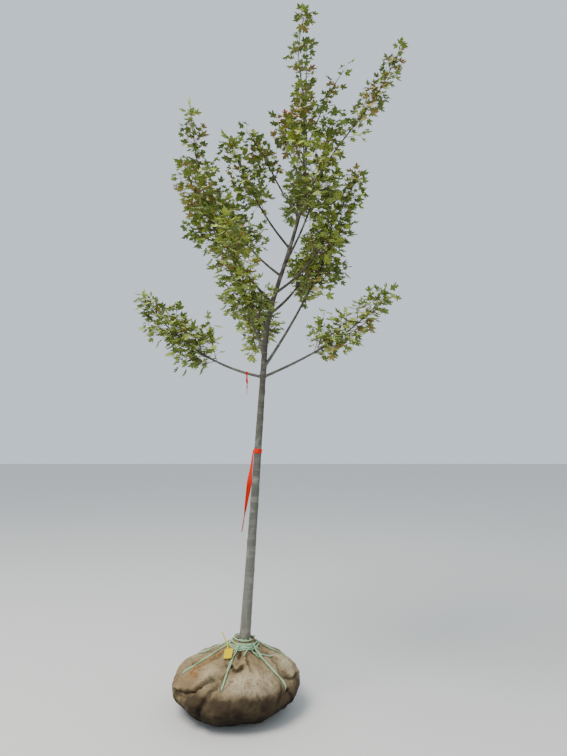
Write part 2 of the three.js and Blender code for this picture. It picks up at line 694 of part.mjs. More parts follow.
// Materials
const bark = new THREE.MeshStandardMaterial({ color: 0x8c8a83, roughness: 0.85 });
const youngBark = new THREE.MeshStandardMaterial({ color: 0x5e564e, roughness: 0.8 });
const leafGreen = new THREE.MeshStandardMaterial({ color: 0x6f8433, roughness: 0.6 });
const burlap = new THREE.MeshStandardMaterial({ color: 0xa58a63, roughness: 1 });
const twineGreen = new THREE.MeshStandardMaterial({ color: 0x8fbf9b, roughness: 0.7 });
const tagYellow = new THREE.MeshStandardMaterial({ color: 0xf0d914, roughness: 0.5 });
const tapeRed = new THREE.MeshStandardMaterial({ color: 0xd63a22, roughness: 0.45 });

const sapling = new THREE.Group();

function addPiece(name, solid, material) {
  const mesh = new THREE.Mesh(geometryFrom(solid), material);
  mesh.name = name;
  sapling.add(mesh);
}

addPiece("root_ball", BALL, burlap);
addPiece("twine", twineSolid(), twineGreen);
addPiece("tag", tagSolid(), tagYellow);
addPiece("trunk", rod(TRUNK, TRUNK_SIDES), bark);
addPiece("ribbon_trunk", trunkRibbon(), tapeRed);
addPiece("ribbon_bough", boughRibbon(GROWN[0]), tapeRed);
for (const grown of GROWN.filter(({ limb }) => limb.bare > 0)) {
  const whole = rod(limbStations(grown, 0, grown.limb.bare, BOUGH_STEPS), BOUGH_SIDES);
  addPiece("bough_" + grown.limb.name, largestBody(whole.subtract(TRUNK_CLEAR)), youngBark);
}
for (const grown of GROWN) {
  addPiece("foliage_" + grown.limb.name, massSolid(grown), leafGreen);
}

export default sapling;
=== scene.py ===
# %% [markdown]
# # A sapling on its root ball
#
# This lesson dresses a packed tree in its bark, twigs, leaves and burlap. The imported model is
# the frame: it says where everything is, in metres, and no part of it is moved. A young tree is
# hard to model leaf by leaf, so most of it grows by a rule here, as it does in the field.

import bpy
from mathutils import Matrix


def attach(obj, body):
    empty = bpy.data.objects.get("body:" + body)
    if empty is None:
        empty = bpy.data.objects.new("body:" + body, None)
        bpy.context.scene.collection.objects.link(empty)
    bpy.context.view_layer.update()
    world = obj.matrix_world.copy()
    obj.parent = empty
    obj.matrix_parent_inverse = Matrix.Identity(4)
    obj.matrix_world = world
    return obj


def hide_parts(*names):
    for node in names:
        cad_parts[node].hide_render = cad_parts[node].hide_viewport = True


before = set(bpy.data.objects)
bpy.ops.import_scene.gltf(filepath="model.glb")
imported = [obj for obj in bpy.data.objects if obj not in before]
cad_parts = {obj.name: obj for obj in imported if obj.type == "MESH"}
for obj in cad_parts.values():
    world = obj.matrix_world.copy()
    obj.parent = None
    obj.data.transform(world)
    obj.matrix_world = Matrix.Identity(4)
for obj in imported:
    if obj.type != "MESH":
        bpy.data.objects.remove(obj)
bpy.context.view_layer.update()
print("nodes in the frame:", len(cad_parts))

# %% [markdown]
# ## Camera, light and floor
#
# The photograph was taken by someone standing 3.4 m away and holding a phone at 1.5 m, tipped up
# by 6 degrees. The tree stands 0.27 m to the left of where the phone points. An overcast sky
# lights a tree from all over, so the world is pale and one large lamp above gives the upper
# sides a little more light. The floor is plain.

# %% Camera
import math

import bpy
import numpy as np
from mathutils import Matrix, Vector, noise

EYE = (0.267, -3.36, 1.5)
TILT = math.radians(96.03)  # 90 degrees would look level
SENSOR_WIDTH, FOCAL_LENGTH = 36, 27.05  # in mm, together a phone's field of view

camera = bpy.data.objects.new("camera", bpy.data.cameras.new("camera"))
camera.location = EYE
camera.rotation_euler = (TILT, 0, 0)
camera.data.sensor_width = SENSOR_WIDTH
camera.data.lens = FOCAL_LENGTH
bpy.context.scene.collection.objects.link(camera)
bpy.context.scene.camera = camera
print("the camera stands", -EYE[1], "m in front of the tree and", EYE[2], "m up")

# %% Sky and lamp
world = bpy.data.worlds.new("overcast")
world.use_nodes = True
sky = world.node_tree.nodes["Background"]
sky.inputs["Color"].default_value = (0.8, 0.9, 1, 1)
sky.inputs["Strength"].default_value = 0.95
bpy.context.scene.world = world

lamp = bpy.data.objects.new("bright_cloud", bpy.data.lights.new("bright_cloud", "AREA"))
lamp.data.size = 4
lamp.data.energy = 720
lamp.data.color = (1, 0.96, 0.9)
lamp.location = (-2.6, -2.8, 7.5)
lamp.rotation_euler = (Vector((0.1, 0, 1.6)) - lamp.location).to_track_quat("-Z", "Y").to_euler()
bpy.context.scene.collection.objects.link(lamp)
print("light from the world", world.name, "and the lamp", lamp.name)

# %% [markdown]
# ## Small helpers
#
# Every piece ends as a plain mesh whose object sits at the origin. One helper makes a mesh from
# points and faces, one lofts rings into a closed tube, and one adds a node and fills its inputs.
# Trees that grow a piece all begin and end alike, so two helpers make their ends. The rest are
# sums that come back often, such as a rounded hump and the short way round a circle.

# %% Meshes
MM = 0.001


def mesh_piece(name, points, faces, edges=()):
    mesh = bpy.data.meshes.new(name)
    mesh.from_pydata(np.asarray(points, float).tolist(), list(edges), faces)
    mesh.shade_smooth()
    piece = bpy.data.objects.new(name, mesh)
    bpy.context.scene.collection.objects.link(piece)
    return piece


def ring_faces(rings, sides, closed=False):
    """Quads between rings of as many points each, anticlockwise about the way the rings go."""
    faces = []
    for k in range(rings if closed else rings - 1):
        low, high = k * sides, (k + 1) % rings * sides
        for i in range(sides):
            j = (i + 1) % sides
            faces.append((low + i, low + j, high + j, high + i))
    return faces


def loft(name, rings):
    """A closed tube through rings, with a point in the middle of each end."""
    count, sides = rings.shape[:2]
    points = np.vstack([rings.reshape(-1, 3), rings[0].mean(0), rings[-1].mean(0)])
    first, last = count * sides, count * sides + 1
    top = (count - 1) * sides
    faces = ring_faces(count, sides)
    faces += [(first, (i + 1) % sides, i) for i in range(sides)]
    faces += [(last, top + i, top + (i + 1) % sides) for i in range(sides)]
    return mesh_piece(name, points, faces)


# %% Values, finishes and slots
def keep_value(piece, name, values):
    """Keeps a number for each point of a mesh, for a material or a node tree to read."""
    kind = "INT" if np.asarray(values).dtype.kind == "i" else "FLOAT"
    kind = "FLOAT_VECTOR" if np.ndim(values) == 2 else kind
    stored = piece.data.attributes.new(name, kind, "POINT")
    stored.data.foreach_set("vector" if kind == "FLOAT_VECTOR" else "value", np.ravel(values))


def dress(piece, finish, slot, *nodes):
    """Gives a finished piece its material, and says which nodes it stands for; its slot is not used."""
    if finish:
        piece.data.materials.clear()
        piece.data.materials.append(finish)
    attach(piece, "root")
    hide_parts(*nodes)
    piece.data.calc_loop_triangles()
    print(f"{piece.name}: {len(piece.data.loop_triangles)} triangles")


# %% Sums
def unit(vectors):
    """Each vector made one long."""
    return vectors / np.linalg.norm(vectors, axis=-1, keepdims=True)


def turned(first, second, angle):
    """Two directions that are square to each other, turned by an angle in their plane."""
    cos, sin = math.cos(angle), math.sin(angle)
    return first * cos + second * sin, second * cos - first * sin


def circle(turns):
    """Points one from the middle on a flat circle."""
    return np.stack([np.cos(turns), np.sin(turns), 0 * turns], -1)


def short_way(turn):
    """The same turn in radians by the short way round, from minus to plus half a circle."""
    return np.mod(turn + np.pi, 2 * np.pi) - np.pi


def round_from(azimuth, degrees):
    """The turn from a bearing in degrees to each azimuth in radians."""
    return short_way(azimuth - np.radians(degrees))


def hump(off, width):
    """1 where off is 0, and almost nothing at twice the width."""
    return np.exp(-((off / width) ** 2))


def smoothstep(low, high, value):
    """0 up to low, 1 from high, and a smooth rise between them."""
    share = np.clip((value - low) / (high - low), 0, 1)
    return share * share * (3 - 2 * share)


def on_rows(value, keys, rows):
    """A table of numbers read between its rows, each of which has a key."""
    return np.stack([np.interp(value, keys, column) for column in rows.T], -1)


# %% Nodes
def node(tree, kind, inputs=None, **settings):
    """A new node. An input's value is a number, a colour, or the socket that feeds it."""
    made = tree.nodes.new(kind)
    for key, value in settings.items():
        setattr(made, key, value)
    for key, value in (inputs or {}).items():
        if isinstance(value, bpy.types.NodeSocket):
            tree.links.new(value, made.inputs[key])
        else:
            made.inputs[key].default_value = value
    return made


def maths(tree, operation, *values):
    """A sum on numbers or sockets."""
    return node(tree, "ShaderNodeMath", dict(enumerate(values)), operation=operation).outputs[0]


def ranged(tree, value, low, high, bottom=0.0, top=1.0, **settings):
    """A value carried over from the range low to high into the range bottom to top."""
    ends = {"From Min": low, "From Max": high, "To Min": bottom, "To Max": top}
    return node(tree, "ShaderNodeMapRange", {"Value": value, **ends}, **settings).outputs[0]


def new_group(name, kind, inputs, outputs):
    """A node group. Each input is given by the value it starts with, or by its kind of socket."""
    tree = bpy.data.node_groups.new(name, kind)
    for label, value in inputs.items():
        socket = value if isinstance(value, str) else type(value).__name__.capitalize()
        made = tree.interface.new_socket(label, in_out="INPUT", socket_type="NodeSocket" + socket)
        if not isinstance(value, str):
            made.default_value = value
    for label, socket in outputs.items():
        tree.interface.new_socket(label, in_out="OUTPUT", socket_type="NodeSocket" + socket)
    return tree, tree.nodes.new("NodeGroupInput").outputs, tree.nodes.new("NodeGroupOutput").inputs


# %% Trees that grow a piece
def growing_tree(name, inputs):
    """A geometry node tree that takes a mesh, its own inputs and the finish of what it grows."""
    all_inputs = {"Geometry": "Geometry", **inputs, "Finish": "Material"}
    return new_group(name, "GeometryNodeTree", all_inputs, {"Geometry": "Geometry"})


def finished(tree, grown, given, out):
    """Ends a growing tree: instances are made real and take their finish."""
    real = node(tree, "GeometryNodeRealizeInstances", {"Geometry": grown.outputs[0]}).outputs[0]
    finish = node(tree, "GeometryNodeSetMaterial", {"Geometry": real, "Material": given["Finish"]})
    tree.links.new(finish.outputs[0], out["Geometry"])
    return tree


def grown_by(tree, name, start, settings):
    """Runs a geometry node tree on a starting mesh, and keeps the result as a plain mesh."""
    modifier = start.modifiers.new(tree.name, "NODES")
    modifier.node_group = tree
    for item in tree.interface.items_tree:
        if item.in_out == "INPUT" and item.name in settings:
            modifier[item.identifier] = settings[item.name]
    graph = bpy.context.evaluated_depsgraph_get()
    mesh = bpy.data.meshes.new_from_object(start.evaluated_get(graph), depsgraph=graph)
    start.modifiers.remove(modifier)
    bpy.data.objects.remove(start)
    mesh.name = name
    piece = bpy.data.objects.new(name, mesh)
    bpy.context.scene.collection.objects.link(piece)
    return piece


# %% [markdown]
# ## Effects that several finishes share
#
# Stains, lichen and mottling are the same idea at different sizes: patches of noise with a soft
# edge. Thread shows on both the burlap and the twine. Each is a node group, built once and
# placed in every material with its own numbers.

# %% Patches
def patches_group():
    tree, given, out = new_group(
        "patches",
        "ShaderNodeTree",
        {"Coordinates": "Vector", "Scale": 5.0, "Cover": 0.5, "Softness": 0.08},
        {"Mask": "Float", "Height": "Float"},
    )
    grain = {"Vector": given["Coordinates"], "Scale": given["Scale"], "Detail": 4.0, "Roughness": 0.62}
    cloud = node(tree, "ShaderNodeTexNoise", grain).outputs["Fac"]
    edge = maths(tree, "SUBTRACT", 1.0, given["Cover"])
    low, high = (maths(tree, way, edge, given["Softness"]) for way in ("SUBTRACT", "ADD"))
    mask = ranged(tree, cloud, low, high, interpolation_type="SMOOTHSTEP")
    tree.links.new(mask, out["Mask"])
    tree.links.new(cloud, out["Height"])
    return tree


PATCHES = patches_group()
print(f"{PATCHES.name}: {len(PATCHES.nodes)} nodes")

# %% Threads
def threads_group():
    """Bands of thread at a pitch, in metres of the coordinates' X, wavering and slubbed."""
    tree, given, out = new_group(
        "threads",
        "ShaderNodeTree",
        {"Coordinates": "Vector", "Scale": 110.0, "Waver": 1.5},
        {"Height": "Float"},
    )
    place = given["Coordinates"]
    waves = {"Scale": given["Scale"], "Distortion": given["Waver"], "Detail": 2.0, "Detail Scale": 0.4}
    bands = node(tree, "ShaderNodeTexWave", {"Vector": place, **waves}).outputs["Fac"]
    slubs = node(tree, "ShaderNodeTexNoise", {"Vector": place, "Scale": 160.0, "Detail": 2.0}).outputs["Fac"]
    tree.links.new(maths(tree, "MULTIPLY", bands, slubs), out["Height"])
    return tree


THREADS = threads_group()
print(f"{THREADS.name}: {len(THREADS.nodes)} nodes")

# %% Material helpers
def new_material(name, roughness, specular=0.5):
    made = bpy.data.materials.new(name)
    made.use_nodes = True
    shader = made.node_tree.nodes["Principled BSDF"]
    shader.inputs["Roughness"].default_value = roughness
    shader.inputs["Specular IOR Level"].default_value = specular
    return made, made.node_tree


def painted(made, tone, height=None, depth=0.0):
    """Finishes a material with its colour, and with a bump of a depth in metres if it has one."""
    tree = made.node_tree
    shader = tree.nodes["Principled BSDF"]
    tree.links.new(tone, shader.inputs["Base Color"])
    if height:
        bump = node(tree, "ShaderNodeBump", {"Height": height, "Distance": depth, "Strength": 1.0})
        tree.links.new(bump.outputs["Normal"], shader.inputs["Normal"])
    return made


def in_object(tree, stretch=(1, 1, 1)):
    """Object coordinates, stretched by three numbers."""
    place = node(tree, "ShaderNodeTexCoord").outputs["Object"]
    return node(tree, "ShaderNodeMapping", {"Vector": place, "Scale": stretch}).outputs[0]


def patches(tree, scale, cover=0.5, softness=0.08, stretch=(1, 1, 1)):
    inputs = {"Coordinates": in_object(tree, stretch), "Scale": scale, "Cover": cover, "Softness": softness}
    return node(tree, "ShaderNodeGroup", inputs, node_tree=PATCHES).outputs


def threads(tree, place, scale, waver):
    inputs = {"Coordinates": place, "Scale": scale, "Waver": waver}
    return node(tree, "ShaderNodeGroup", inputs, node_tree=THREADS).outputs["Height"]


# %% Colours
def colour(text):
    """The linear colour of six hex digits as a screen shows them."""
    parts = [int(text[i : i + 2], 16) / 255 for i in (0, 2, 4)]
    return (*[(c / 12.92 if c <= 0.04045 else ((c + 0.055) / 1.055) ** 2.4) for c in parts], 1)


def mixed(tree, share, first, second, blend="MIX"):
    """A colour between two, each six hex digits or a socket, by a share from 0 to 1."""
    first, second = (colour(tone) if isinstance(tone, str) else tone for tone in (first, second))
    mix = {0: share, 6: first, 7: second}
    return node(tree, "ShaderNodeMix", mix, data_type="RGBA", blend_type=blend).outputs[2]


def tone_ramp(tree, share, stops):
    """A colour that changes with a share from 0 to 1, through stops of a share and six hex digits."""
    made = node(tree, "ShaderNodeValToRGB", {"Fac": share})
    elements = made.color_ramp.elements
    while len(elements) < len(stops):
        elements.new(0.5)
    for element, (position, tone) in zip(elements, stops):
        element.position = position
        element.color = colour(tone)
    return made.outputs["Color"]


# %% [markdown]
# ## The floor
#
# A plain pale floor shows where the ball stands and throws soft light up under the leaves.

# %% Floor
floor = mesh_piece("floor", [(-30, -30, 0), (30, -30, 0), (30, 30, 0), (-30, 30, 0)], [(0, 1, 2, 3)])
floor_paint, floor_tree = new_material("floor_paint", 0.9)
floor_tree.nodes["Principled BSDF"].inputs["Base Color"].default_value = colour("d6d4cf")
floor.data.materials.append(floor_paint)
print(f"{floor.name}: {len(floor.data.polygons)} face")

# %% [markdown]
# ## How the tree grows: the trunk
#
# The trunk is not a cone. It leans 4 degrees to the right, bends further in the crown and comes
# upright again below its fork. A table of leans by height holds this, and the axis is the sum
# of small steps along it. The radius tapers to the fork and flares just above the ground.

# %% The trunk's axis
TRUNK_FOOT = np.array([42.0, 0.0, 300.0])
FORK_HEIGHT = 3410.0
FOOT_RADIUS, FORK_RADIUS, TIP_RADIUS = 31, 6.5, 1.7
TAPER, FLARE, FLARE_REACH = 1.12, 9, 55
TRUNK_LEAN = np.array(
    [
        # height, lean to the right and lean to the back in degrees
        (300, 4, 0.6),
        (1000, 3.7, 0.6),
        (2000, 3.6, 0.4),
        (2150, 7, -1),
        (2300, 15, -1.5),
        (2450, 18.5, -1.5),
        (2800, 15.5, 1),
        (2930, 13, 1.5),
        (3030, 4, 1.5),
        (3410, -1, 0),
    ]
)


def trunk_way(height):
    aside = np.tan(np.radians(on_rows(height, TRUNK_LEAN[:, 0], TRUNK_LEAN[:, 1:])))
    return np.concatenate([aside, np.ones_like(aside[..., :1])], -1)


def trunk_radius(height):
    risen = height - TRUNK_FOOT[2]
    left = np.clip(1 - risen / (FORK_HEIGHT - TRUNK_FOOT[2]), 0, 1)
    tapered = FORK_RADIUS + (FOOT_RADIUS - FORK_RADIUS) * left**TAPER
    return tapered + FLARE * np.exp(-risen / FLARE_REACH)


TRUNK_HEIGHTS = np.arange(TRUNK_FOOT[2], FORK_HEIGHT + 0.1, 1.0)
steps = trunk_way(TRUNK_HEIGHTS[:-1] + 0.5)
TRUNK_LINE = TRUNK_FOOT + np.vstack([np.zeros(3), np.cumsum(steps, 0)])


def trunk_point(height):
    return on_rows(height, TRUNK_HEIGHTS, TRUNK_LINE)


print("the fork is", np.round(trunk_point(FORK_HEIGHT)).tolist(), "mm from the middle of the ball")

# %% [markdown]
# ## How the tree grows: the boughs
#
# Twenty boughs leave the trunk all round, and the leader carries on from the fork. A row gives
# where a bough starts, which way it heads, how long it is and how far it spreads from upright
# at its base, middle and tip. It is bare for a share of its length, and the rest is the stem
# of its mass of leaves.

# %% The boughs' axes
LIMBS = [
    # name, height, azimuth, length, spread at base, middle and tip, sweep, bare share, bush
    ("low_left", 1862, 184, 860, (80, 56, 38), -4, 0.24, 0.3),
    ("low_right", 1862, 344, 880, (70, 60, 38), 14, 0.28, 0.3),
    ("right", 1918, 12, 1110, (34, 27, 24), 4, 0.35, 0.26),
    ("low_back", 1975, 100, 860, (68, 52, 34), -12, 0.24, 0.3),
    ("low_front", 2030, 252, 860, (68, 50, 32), 8, 0.2, 0.31),
    ("left_tall", 2155, 177, 1480, (38, 17, 6), 0, 0.46, 0.14),
    ("back_right", 2245, 52, 980, (58, 42, 26), 10, 0.26, 0.3),
    ("front_left", 2310, 222, 920, (58, 42, 26), -8, 0.24, 0.3),
    ("right_inner", 2375, 350, 860, (60, 28, 30), 0, 0.28, 0.28),
    ("back_left", 2480, 138, 900, (54, 40, 24), 8, 0.26, 0.3),
    ("front_right", 2560, 304, 820, (54, 38, 24), -8, 0.24, 0.3),
    ("left_inner", 2650, 206, 700, (48, 32, 24), 0, 0.26, 0.3),
    ("back_high", 2755, 82, 680, (44, 28, 18), 0, 0.24, 0.3),
    ("left_high", 2848, 174, 660, (34, 25, 35), 0, 0.3, 0.24),
    ("right_high", 2945, 2, 1210, (28, 38, 21), 0, 0.34, 0.12),
    ("front_high", 3000, 268, 560, (42, 28, 18), 0, 0.24, 0.3),
    ("left_top", 3050, 190, 430, (28, 22, 17), 0, 0.28, 0.3),
    ("back_top", 3165, 118, 470, (38, 24, 16), 0, 0.24, 0.3),
    ("right_top", 3285, 4, 590, (20, 22, 32), 0, 0.26, 0.14),
    ("twin_leader", 3345, 84, 690, (17, 3, 0), 0, 0.16, 0.1),
    ("leader", 3410, 190, 765, (1, 9, -16), 0, 0, 0.1),
]
LEADER = len(LIMBS) - 1
LIMB_STEPS = 96


def limb_axis(height, azimuth, length, spread, sweep):
    share = (np.arange(LIMB_STEPS) + 0.5) / LIMB_STEPS
    lean = np.radians(np.interp(share, (0, 0.5, 1), spread))
    turn = np.radians(azimuth + sweep * share)
    ways = np.stack([np.sin(lean) * np.cos(turn), np.sin(lean) * np.sin(turn), np.cos(lean)], -1)
    return trunk_point(height) + np.vstack([np.zeros(3), np.cumsum(ways * length / LIMB_STEPS, 0)])


AXES = [limb_axis(*limb[1:6]) for limb in LIMBS]


def limb_point(index, share):
    return on_rows(np.clip(share, 0, 1) * LIMB_STEPS, np.arange(LIMB_STEPS + 1), AXES[index])


def limb_way(index, share):
    return unit(limb_point(index, share + 0.03) - limb_point(index, share - 0.03))


def limb_radius(index, share):
    _, height, _, length = LIMBS[index][:4]
    if index == LEADER:
        return FORK_RADIUS + (TIP_RADIUS - FORK_RADIUS) * share**0.8
    base = min(0.62 * trunk_radius(height), 3.4 + 5.6 * length / 1000)
    swell = 1 + 0.4 * np.exp(-share * length / 22)
    return (TIP_RADIUS + (base - TIP_RADIUS) * (1 - share) ** 0.9) * swell


print("the highest limb ends at", round(limb_point(LEADER, 1)[2]), "mm")

# %% [markdown]
# ## Bark finishes
#
# The bark of a young trunk is smooth grey with paler and darker bands, turning brown where it
# is newest, in the crown, and where soil has splashed it at the foot. Height decides which of
# these shows, so the material reads the Z of the object's coordinates.

# %% Bark
def bark_material(name, tones):
    """Bark whose colour changes with height: pairs of a height in metres and a colour."""
    made, tree = new_material(name, 0.82, 0.3)
    place = node(tree, "ShaderNodeTexCoord").outputs["Object"]
    up = node(tree, "ShaderNodeSeparateXYZ", {0: place}).outputs["Z"]
    bottom, top = tones[0][0], tones[-1][0]
    stops = [((z - bottom) / (top - bottom), tone) for z, tone in tones]
    base = tone_ramp(tree, ranged(tree, up, bottom, top), stops)
    streaks = patches(tree, 46, 0.5, 0.2, (1, 1, 0.22))
    bands = patches(tree, 9, 0.42, 0.1, (0.5, 0.5, 3.2))
    lichen = patches(tree, 21, 0.4, 0.05, (1, 1, 0.7))
    darker = mixed(tree, streaks["Mask"], base, mixed(tree, 0.3, base, "2e2b27"))
    banded = mixed(tree, bands["Mask"], darker, mixed(tree, 0.16, darker, "c4c4bc"))
    speckled = mixed(tree, maths(tree, "MULTIPLY", lichen["Mask"], 0.3), banded, "9c9f92")
    splash = ranged(tree, up, 0.33, 0.56, 0.75, 0.0)
    soiled = mixed(tree, maths(tree, "MULTIPLY", splash, streaks["Height"]), speckled, "5d4a37")
    return painted(made, soiled, streaks["Height"], 0.0012)


# heights in metres and the colours there, from the foot up
TRUNK_TONES = [
    (0.35, "7f7f76"),
    (0.7, "727169"),
    (1.0, "65645d"),
    (1.7, "5c5950"),
    (2.4, "49423a"),
    (4.2, "3d3329"),
]
BOUGH_TONES = [(1.8, "6a665d"), (2.3, "4a4239"), (3.6, "3f352b")]
TRUNK_BARK = bark_material("trunk_bark", TRUNK_TONES)
BOUGH_BARK = bark_material("bough_bark", BOUGH_TONES)
print("each bark has", len(TRUNK_BARK.node_tree.nodes), "nodes")

# %% [markdown]
# ## The trunk and boughs
#
# Each is a tube along its axis whose radius changes round and along it. On a young maple the
# relief is low: rings where each year's growth began, oval scars where lower branches were
# pruned, shallow flutes, and a swelling at every branch. It is real shape, not only bump, so
# that the outline has it too. The rings are carried along the axis without twisting.

# %% Tubes along an axis
def frames_along(points):
    """The way of an axis and two directions square to it, carried along without twisting."""
    ways = unit(np.gradient(points, axis=0))
    first = np.cross([0.0, 1.0, 0.0], ways[0])
    firsts = []
    for way in ways:
        first = unit(first - way * first.dot(way))
        firsts.append(first)
    firsts = np.array(firsts)
    return ways, firsts, np.cross(ways, firsts)


def bark_tube(name, points, radii):
    """A tube whose radii are given for each ring and each direction round it, in mm."""
    _, firsts, seconds = frames_along(points)
    turns = np.linspace(0, 2 * np.pi, radii.shape[1], endpoint=False)
    out = firsts[:, None] * np.cos(turns)[:, None] + seconds[:, None] * np.sin(turns)[:, None]
    return loft(name, (points[:, None] + out * radii[:, :, None]) * MM)


def soft_noise(points, size):
    """Smooth noise from about -1 to 1 at points in mm, with lumps of a size in mm."""
    flat = np.asarray(points, float).reshape(-1, 3) / size
    values = np.array([noise.noise(Vector(p)) for p in flat.tolist()])
    return values.reshape(np.shape(points)[:-1])


# %% The trunk's relief
SCARS = [
    # height and azimuth of pruned branches, with the size of the scar
    (455, 8, 10),
    (560, 150, 9),
    (655, 262, 10),
    (742, 338, 11),
    (760, 96, 10),
    (905, 196, 10),
    (1010, 295, 11),
    (1105, 30, 10),
    (1180, 232, 9),
    (1265, 332, 10),
    (1370, 120, 11),
    (1482, 285, 10),
    (1575, 190, 12),
    (1610, 15, 10),
    (1700, 250, 11),
    (1765, 330, 12),
    (1800, 100, 12),
]
YEAR_RINGS = (520, 838, 1140, 1465, 1688, 2210, 2660, 3060)
print(len(SCARS), "pruning scars and", len(YEAR_RINGS), "rings of growth")


def trunk_relief(heights, turns, points):
    """How far the bark stands out from the plain taper, in mm."""
    z, a = heights[:, None], turns[None, :]
    radius = trunk_radius(z)
    # shallow flutes and lumps
    relief = radius * (0.016 * np.cos(3 * a + z / 700) + 0.011 * np.cos(5 * a - z / 420 + 1))
    relief += 0.9 * soft_noise(points * (1, 1, 0.4), 26) + 0.35 * soft_noise(points * (1, 1, 0.5), 7)
    # where each year's growth began
    for ring in YEAR_RINGS:
        wave = z - ring - 3 * np.sin(2 * a + ring)
        relief += 0.9 * hump(wave, 5) - 0.4 * hump(wave - 11, 5)
    # each scar is a raised oval with a hollow in it and a brow above
    for height, azimuth, size in SCARS:
        across = round_from(a, azimuth) * radius
        span = np.hypot(across / size, (z - height) / (size * 1.25))
        relief += 2.6 * hump(span, 1) - 3.2 * hump(span, 0.42)
        brow = z - height - size * 1.5 + 0.05 * across**2
        relief += 1.1 * hump(brow, 2.5) * (np.abs(across) < size * 1.6)
    # the wood swells just above the base of every bough
    for index, (_, height, azimuth, *_) in enumerate(LIMBS[:LEADER]):
        across = round_from(a, azimuth) * radius
        span = np.hypot(across / 1.1, (z - height - radius * 0.6) / 1.7) / limb_radius(index, 0)
        relief += 0.16 * radius * hump(span, 1)
    return relief


# %% The trunk
TRUNK_SIDES = 64
trunk_heights = np.linspace(TRUNK_FOOT[2], FORK_HEIGHT, 540)
stem = trunk_point(trunk_heights)
leader_share = np.linspace(0, 1, 100)[1:]
turns = np.linspace(0, 2 * np.pi, TRUNK_SIDES, endpoint=False)
bark_points = stem[:, None] + circle(turns) * trunk_radius(trunk_heights)[:, None, None]
radii = trunk_radius(trunk_heights)[:, None] + trunk_relief(trunk_heights, turns, bark_points)
tip_radii = np.repeat(limb_radius(LEADER, leader_share)[:, None], TRUNK_SIDES, 1)
whole_line = np.vstack([stem, limb_point(LEADER, leader_share)])
trunk = bark_tube("trunk_bark", whole_line, np.vstack([radii, tip_radii]))
dress(trunk, TRUNK_BARK, "bark", "trunk")


# %% The boughs
def seeded(seed):
    """The same stream of numbers from 0 to 1 for the same seed."""
    state = seed & 0xFFFFFFFF

    def draw():
        nonlocal state
        state = (state + 0x6D2B79F5) & 0xFFFFFFFF
        value = state
        value = ((value ^ (value >> 15)) * (value | 1)) & 0xFFFFFFFF
        value ^= (value + (((value ^ (value >> 7)) * (value | 61)) & 0xFFFFFFFF)) & 0xFFFFFFFF
        return (value ^ (value >> 14)) / 4294967296

    return draw


BOUGH_SIDES = 14
NODE_GAP, GAP_SPREAD = 46, 52  # mm between two nodes, and how much more a draw can add
NODE_SWELL, NODE_KINK = 0.13, 1.6  # a share of the radius, and mm


def bough(index):
    """One limb from inside the trunk to its tip, with a ring and a slight kink at each node."""
    name, _, _, length = LIMBS[index][:4]
    share = np.linspace(0, 1, int(length / 8))
    points = limb_point(index, share)
    turns = np.linspace(0, 2 * np.pi, BOUGH_SIDES, endpoint=False)
    radii = np.repeat(limb_radius(index, share)[:, None], BOUGH_SIDES, 1)
    draw = seeded(400 + index)
    at = 50 + 40 * draw()
    while at < length - 30:
        off = share * length - at
        radii = radii * (1 + NODE_SWELL * hump(off, 5)[:, None])
        kink = NODE_KINK * (draw() - 0.5), NODE_KINK * (draw() - 0.5)
        bend = np.exp(-np.abs(off) / 26)[:, None]
        points = points + bend * np.array([*kink, 0.0])
        at += NODE_GAP + GAP_SPREAD * draw()
    radii *= 1 + 0.05 * np.cos(2 * turns + index) + 0.04 * np.cos(5 * turns - 7 * share[:, None])
    return bark_tube("bough_bark_" + name, points, radii)


for index in range(LEADER):
    dress(bough(index), BOUGH_BARK, "young_bark", "bough_" + LIMBS[index][0])

# %% [markdown]
# ## Lenticels
#
# Young maple bark breathes through lenticels, small pale dashes that lie across the trunk. They
# repeat over a surface, so Geometry Nodes scatter them: points on the faces of the bark, and a
# flat little lens at each, turned to lie on it. The seed is fixed.

# %% Scatter lenticels over the bark
def lenticel_tree():
    tree, given, out = growing_tree("lenticels", {"Per square metre": 900.0, "Length": 0.004, "Seed": 5})
    points = node(
        tree,
        "GeometryNodeDistributePointsOnFaces",
        {"Mesh": given["Geometry"], "Density": given["Per square metre"], "Seed": given["Seed"]},
    )
    lens = node(tree, "GeometryNodeMeshIcoSphere", {"Radius": 0.5, "Subdivisions": 1})
    sizes = {2: 0.55, 3: 1.2, "Seed": given["Seed"]}
    size = node(tree, "FunctionNodeRandomValue", sizes, data_type="FLOAT")
    long = maths(tree, "MULTIPLY", given["Length"], size.outputs[1])
    flat = node(tree, "ShaderNodeVectorMath", {0: (0.42, 1.0, 0.2), "Scale": long}, operation="SCALE")
    square = node(
        tree,
        "FunctionNodeAlignRotationToVector",
        {"Rotation": points.outputs["Rotation"], "Vector": (0.0, 0.0, 1.0)},
        axis="X",
        pivot_axis="Z",
    )
    where = {"Points": points.outputs["Points"], "Rotation": square.outputs[0], "Scale": flat.outputs[0]}
    placed = node(tree, "GeometryNodeInstanceOnPoints", {"Instance": lens.outputs["Mesh"], **where})
    return finished(tree, placed, given, out)


LENTICEL_CORK, cork_tree = new_material("lenticel_cork", 0.9)
painted(LENTICEL_CORK, mixed(cork_tree, patches(cork_tree, 60)["Mask"], "a89f90", "7d7365"))
bare = bpy.data.objects.new("bare_bark", trunk.data.copy())
bpy.context.scene.collection.objects.link(bare)
lenticels = grown_by(lenticel_tree(), "lenticels", bare, {"Finish": LENTICEL_CORK, "Seed": 5})
dress(lenticels, None, "bark", "trunk")

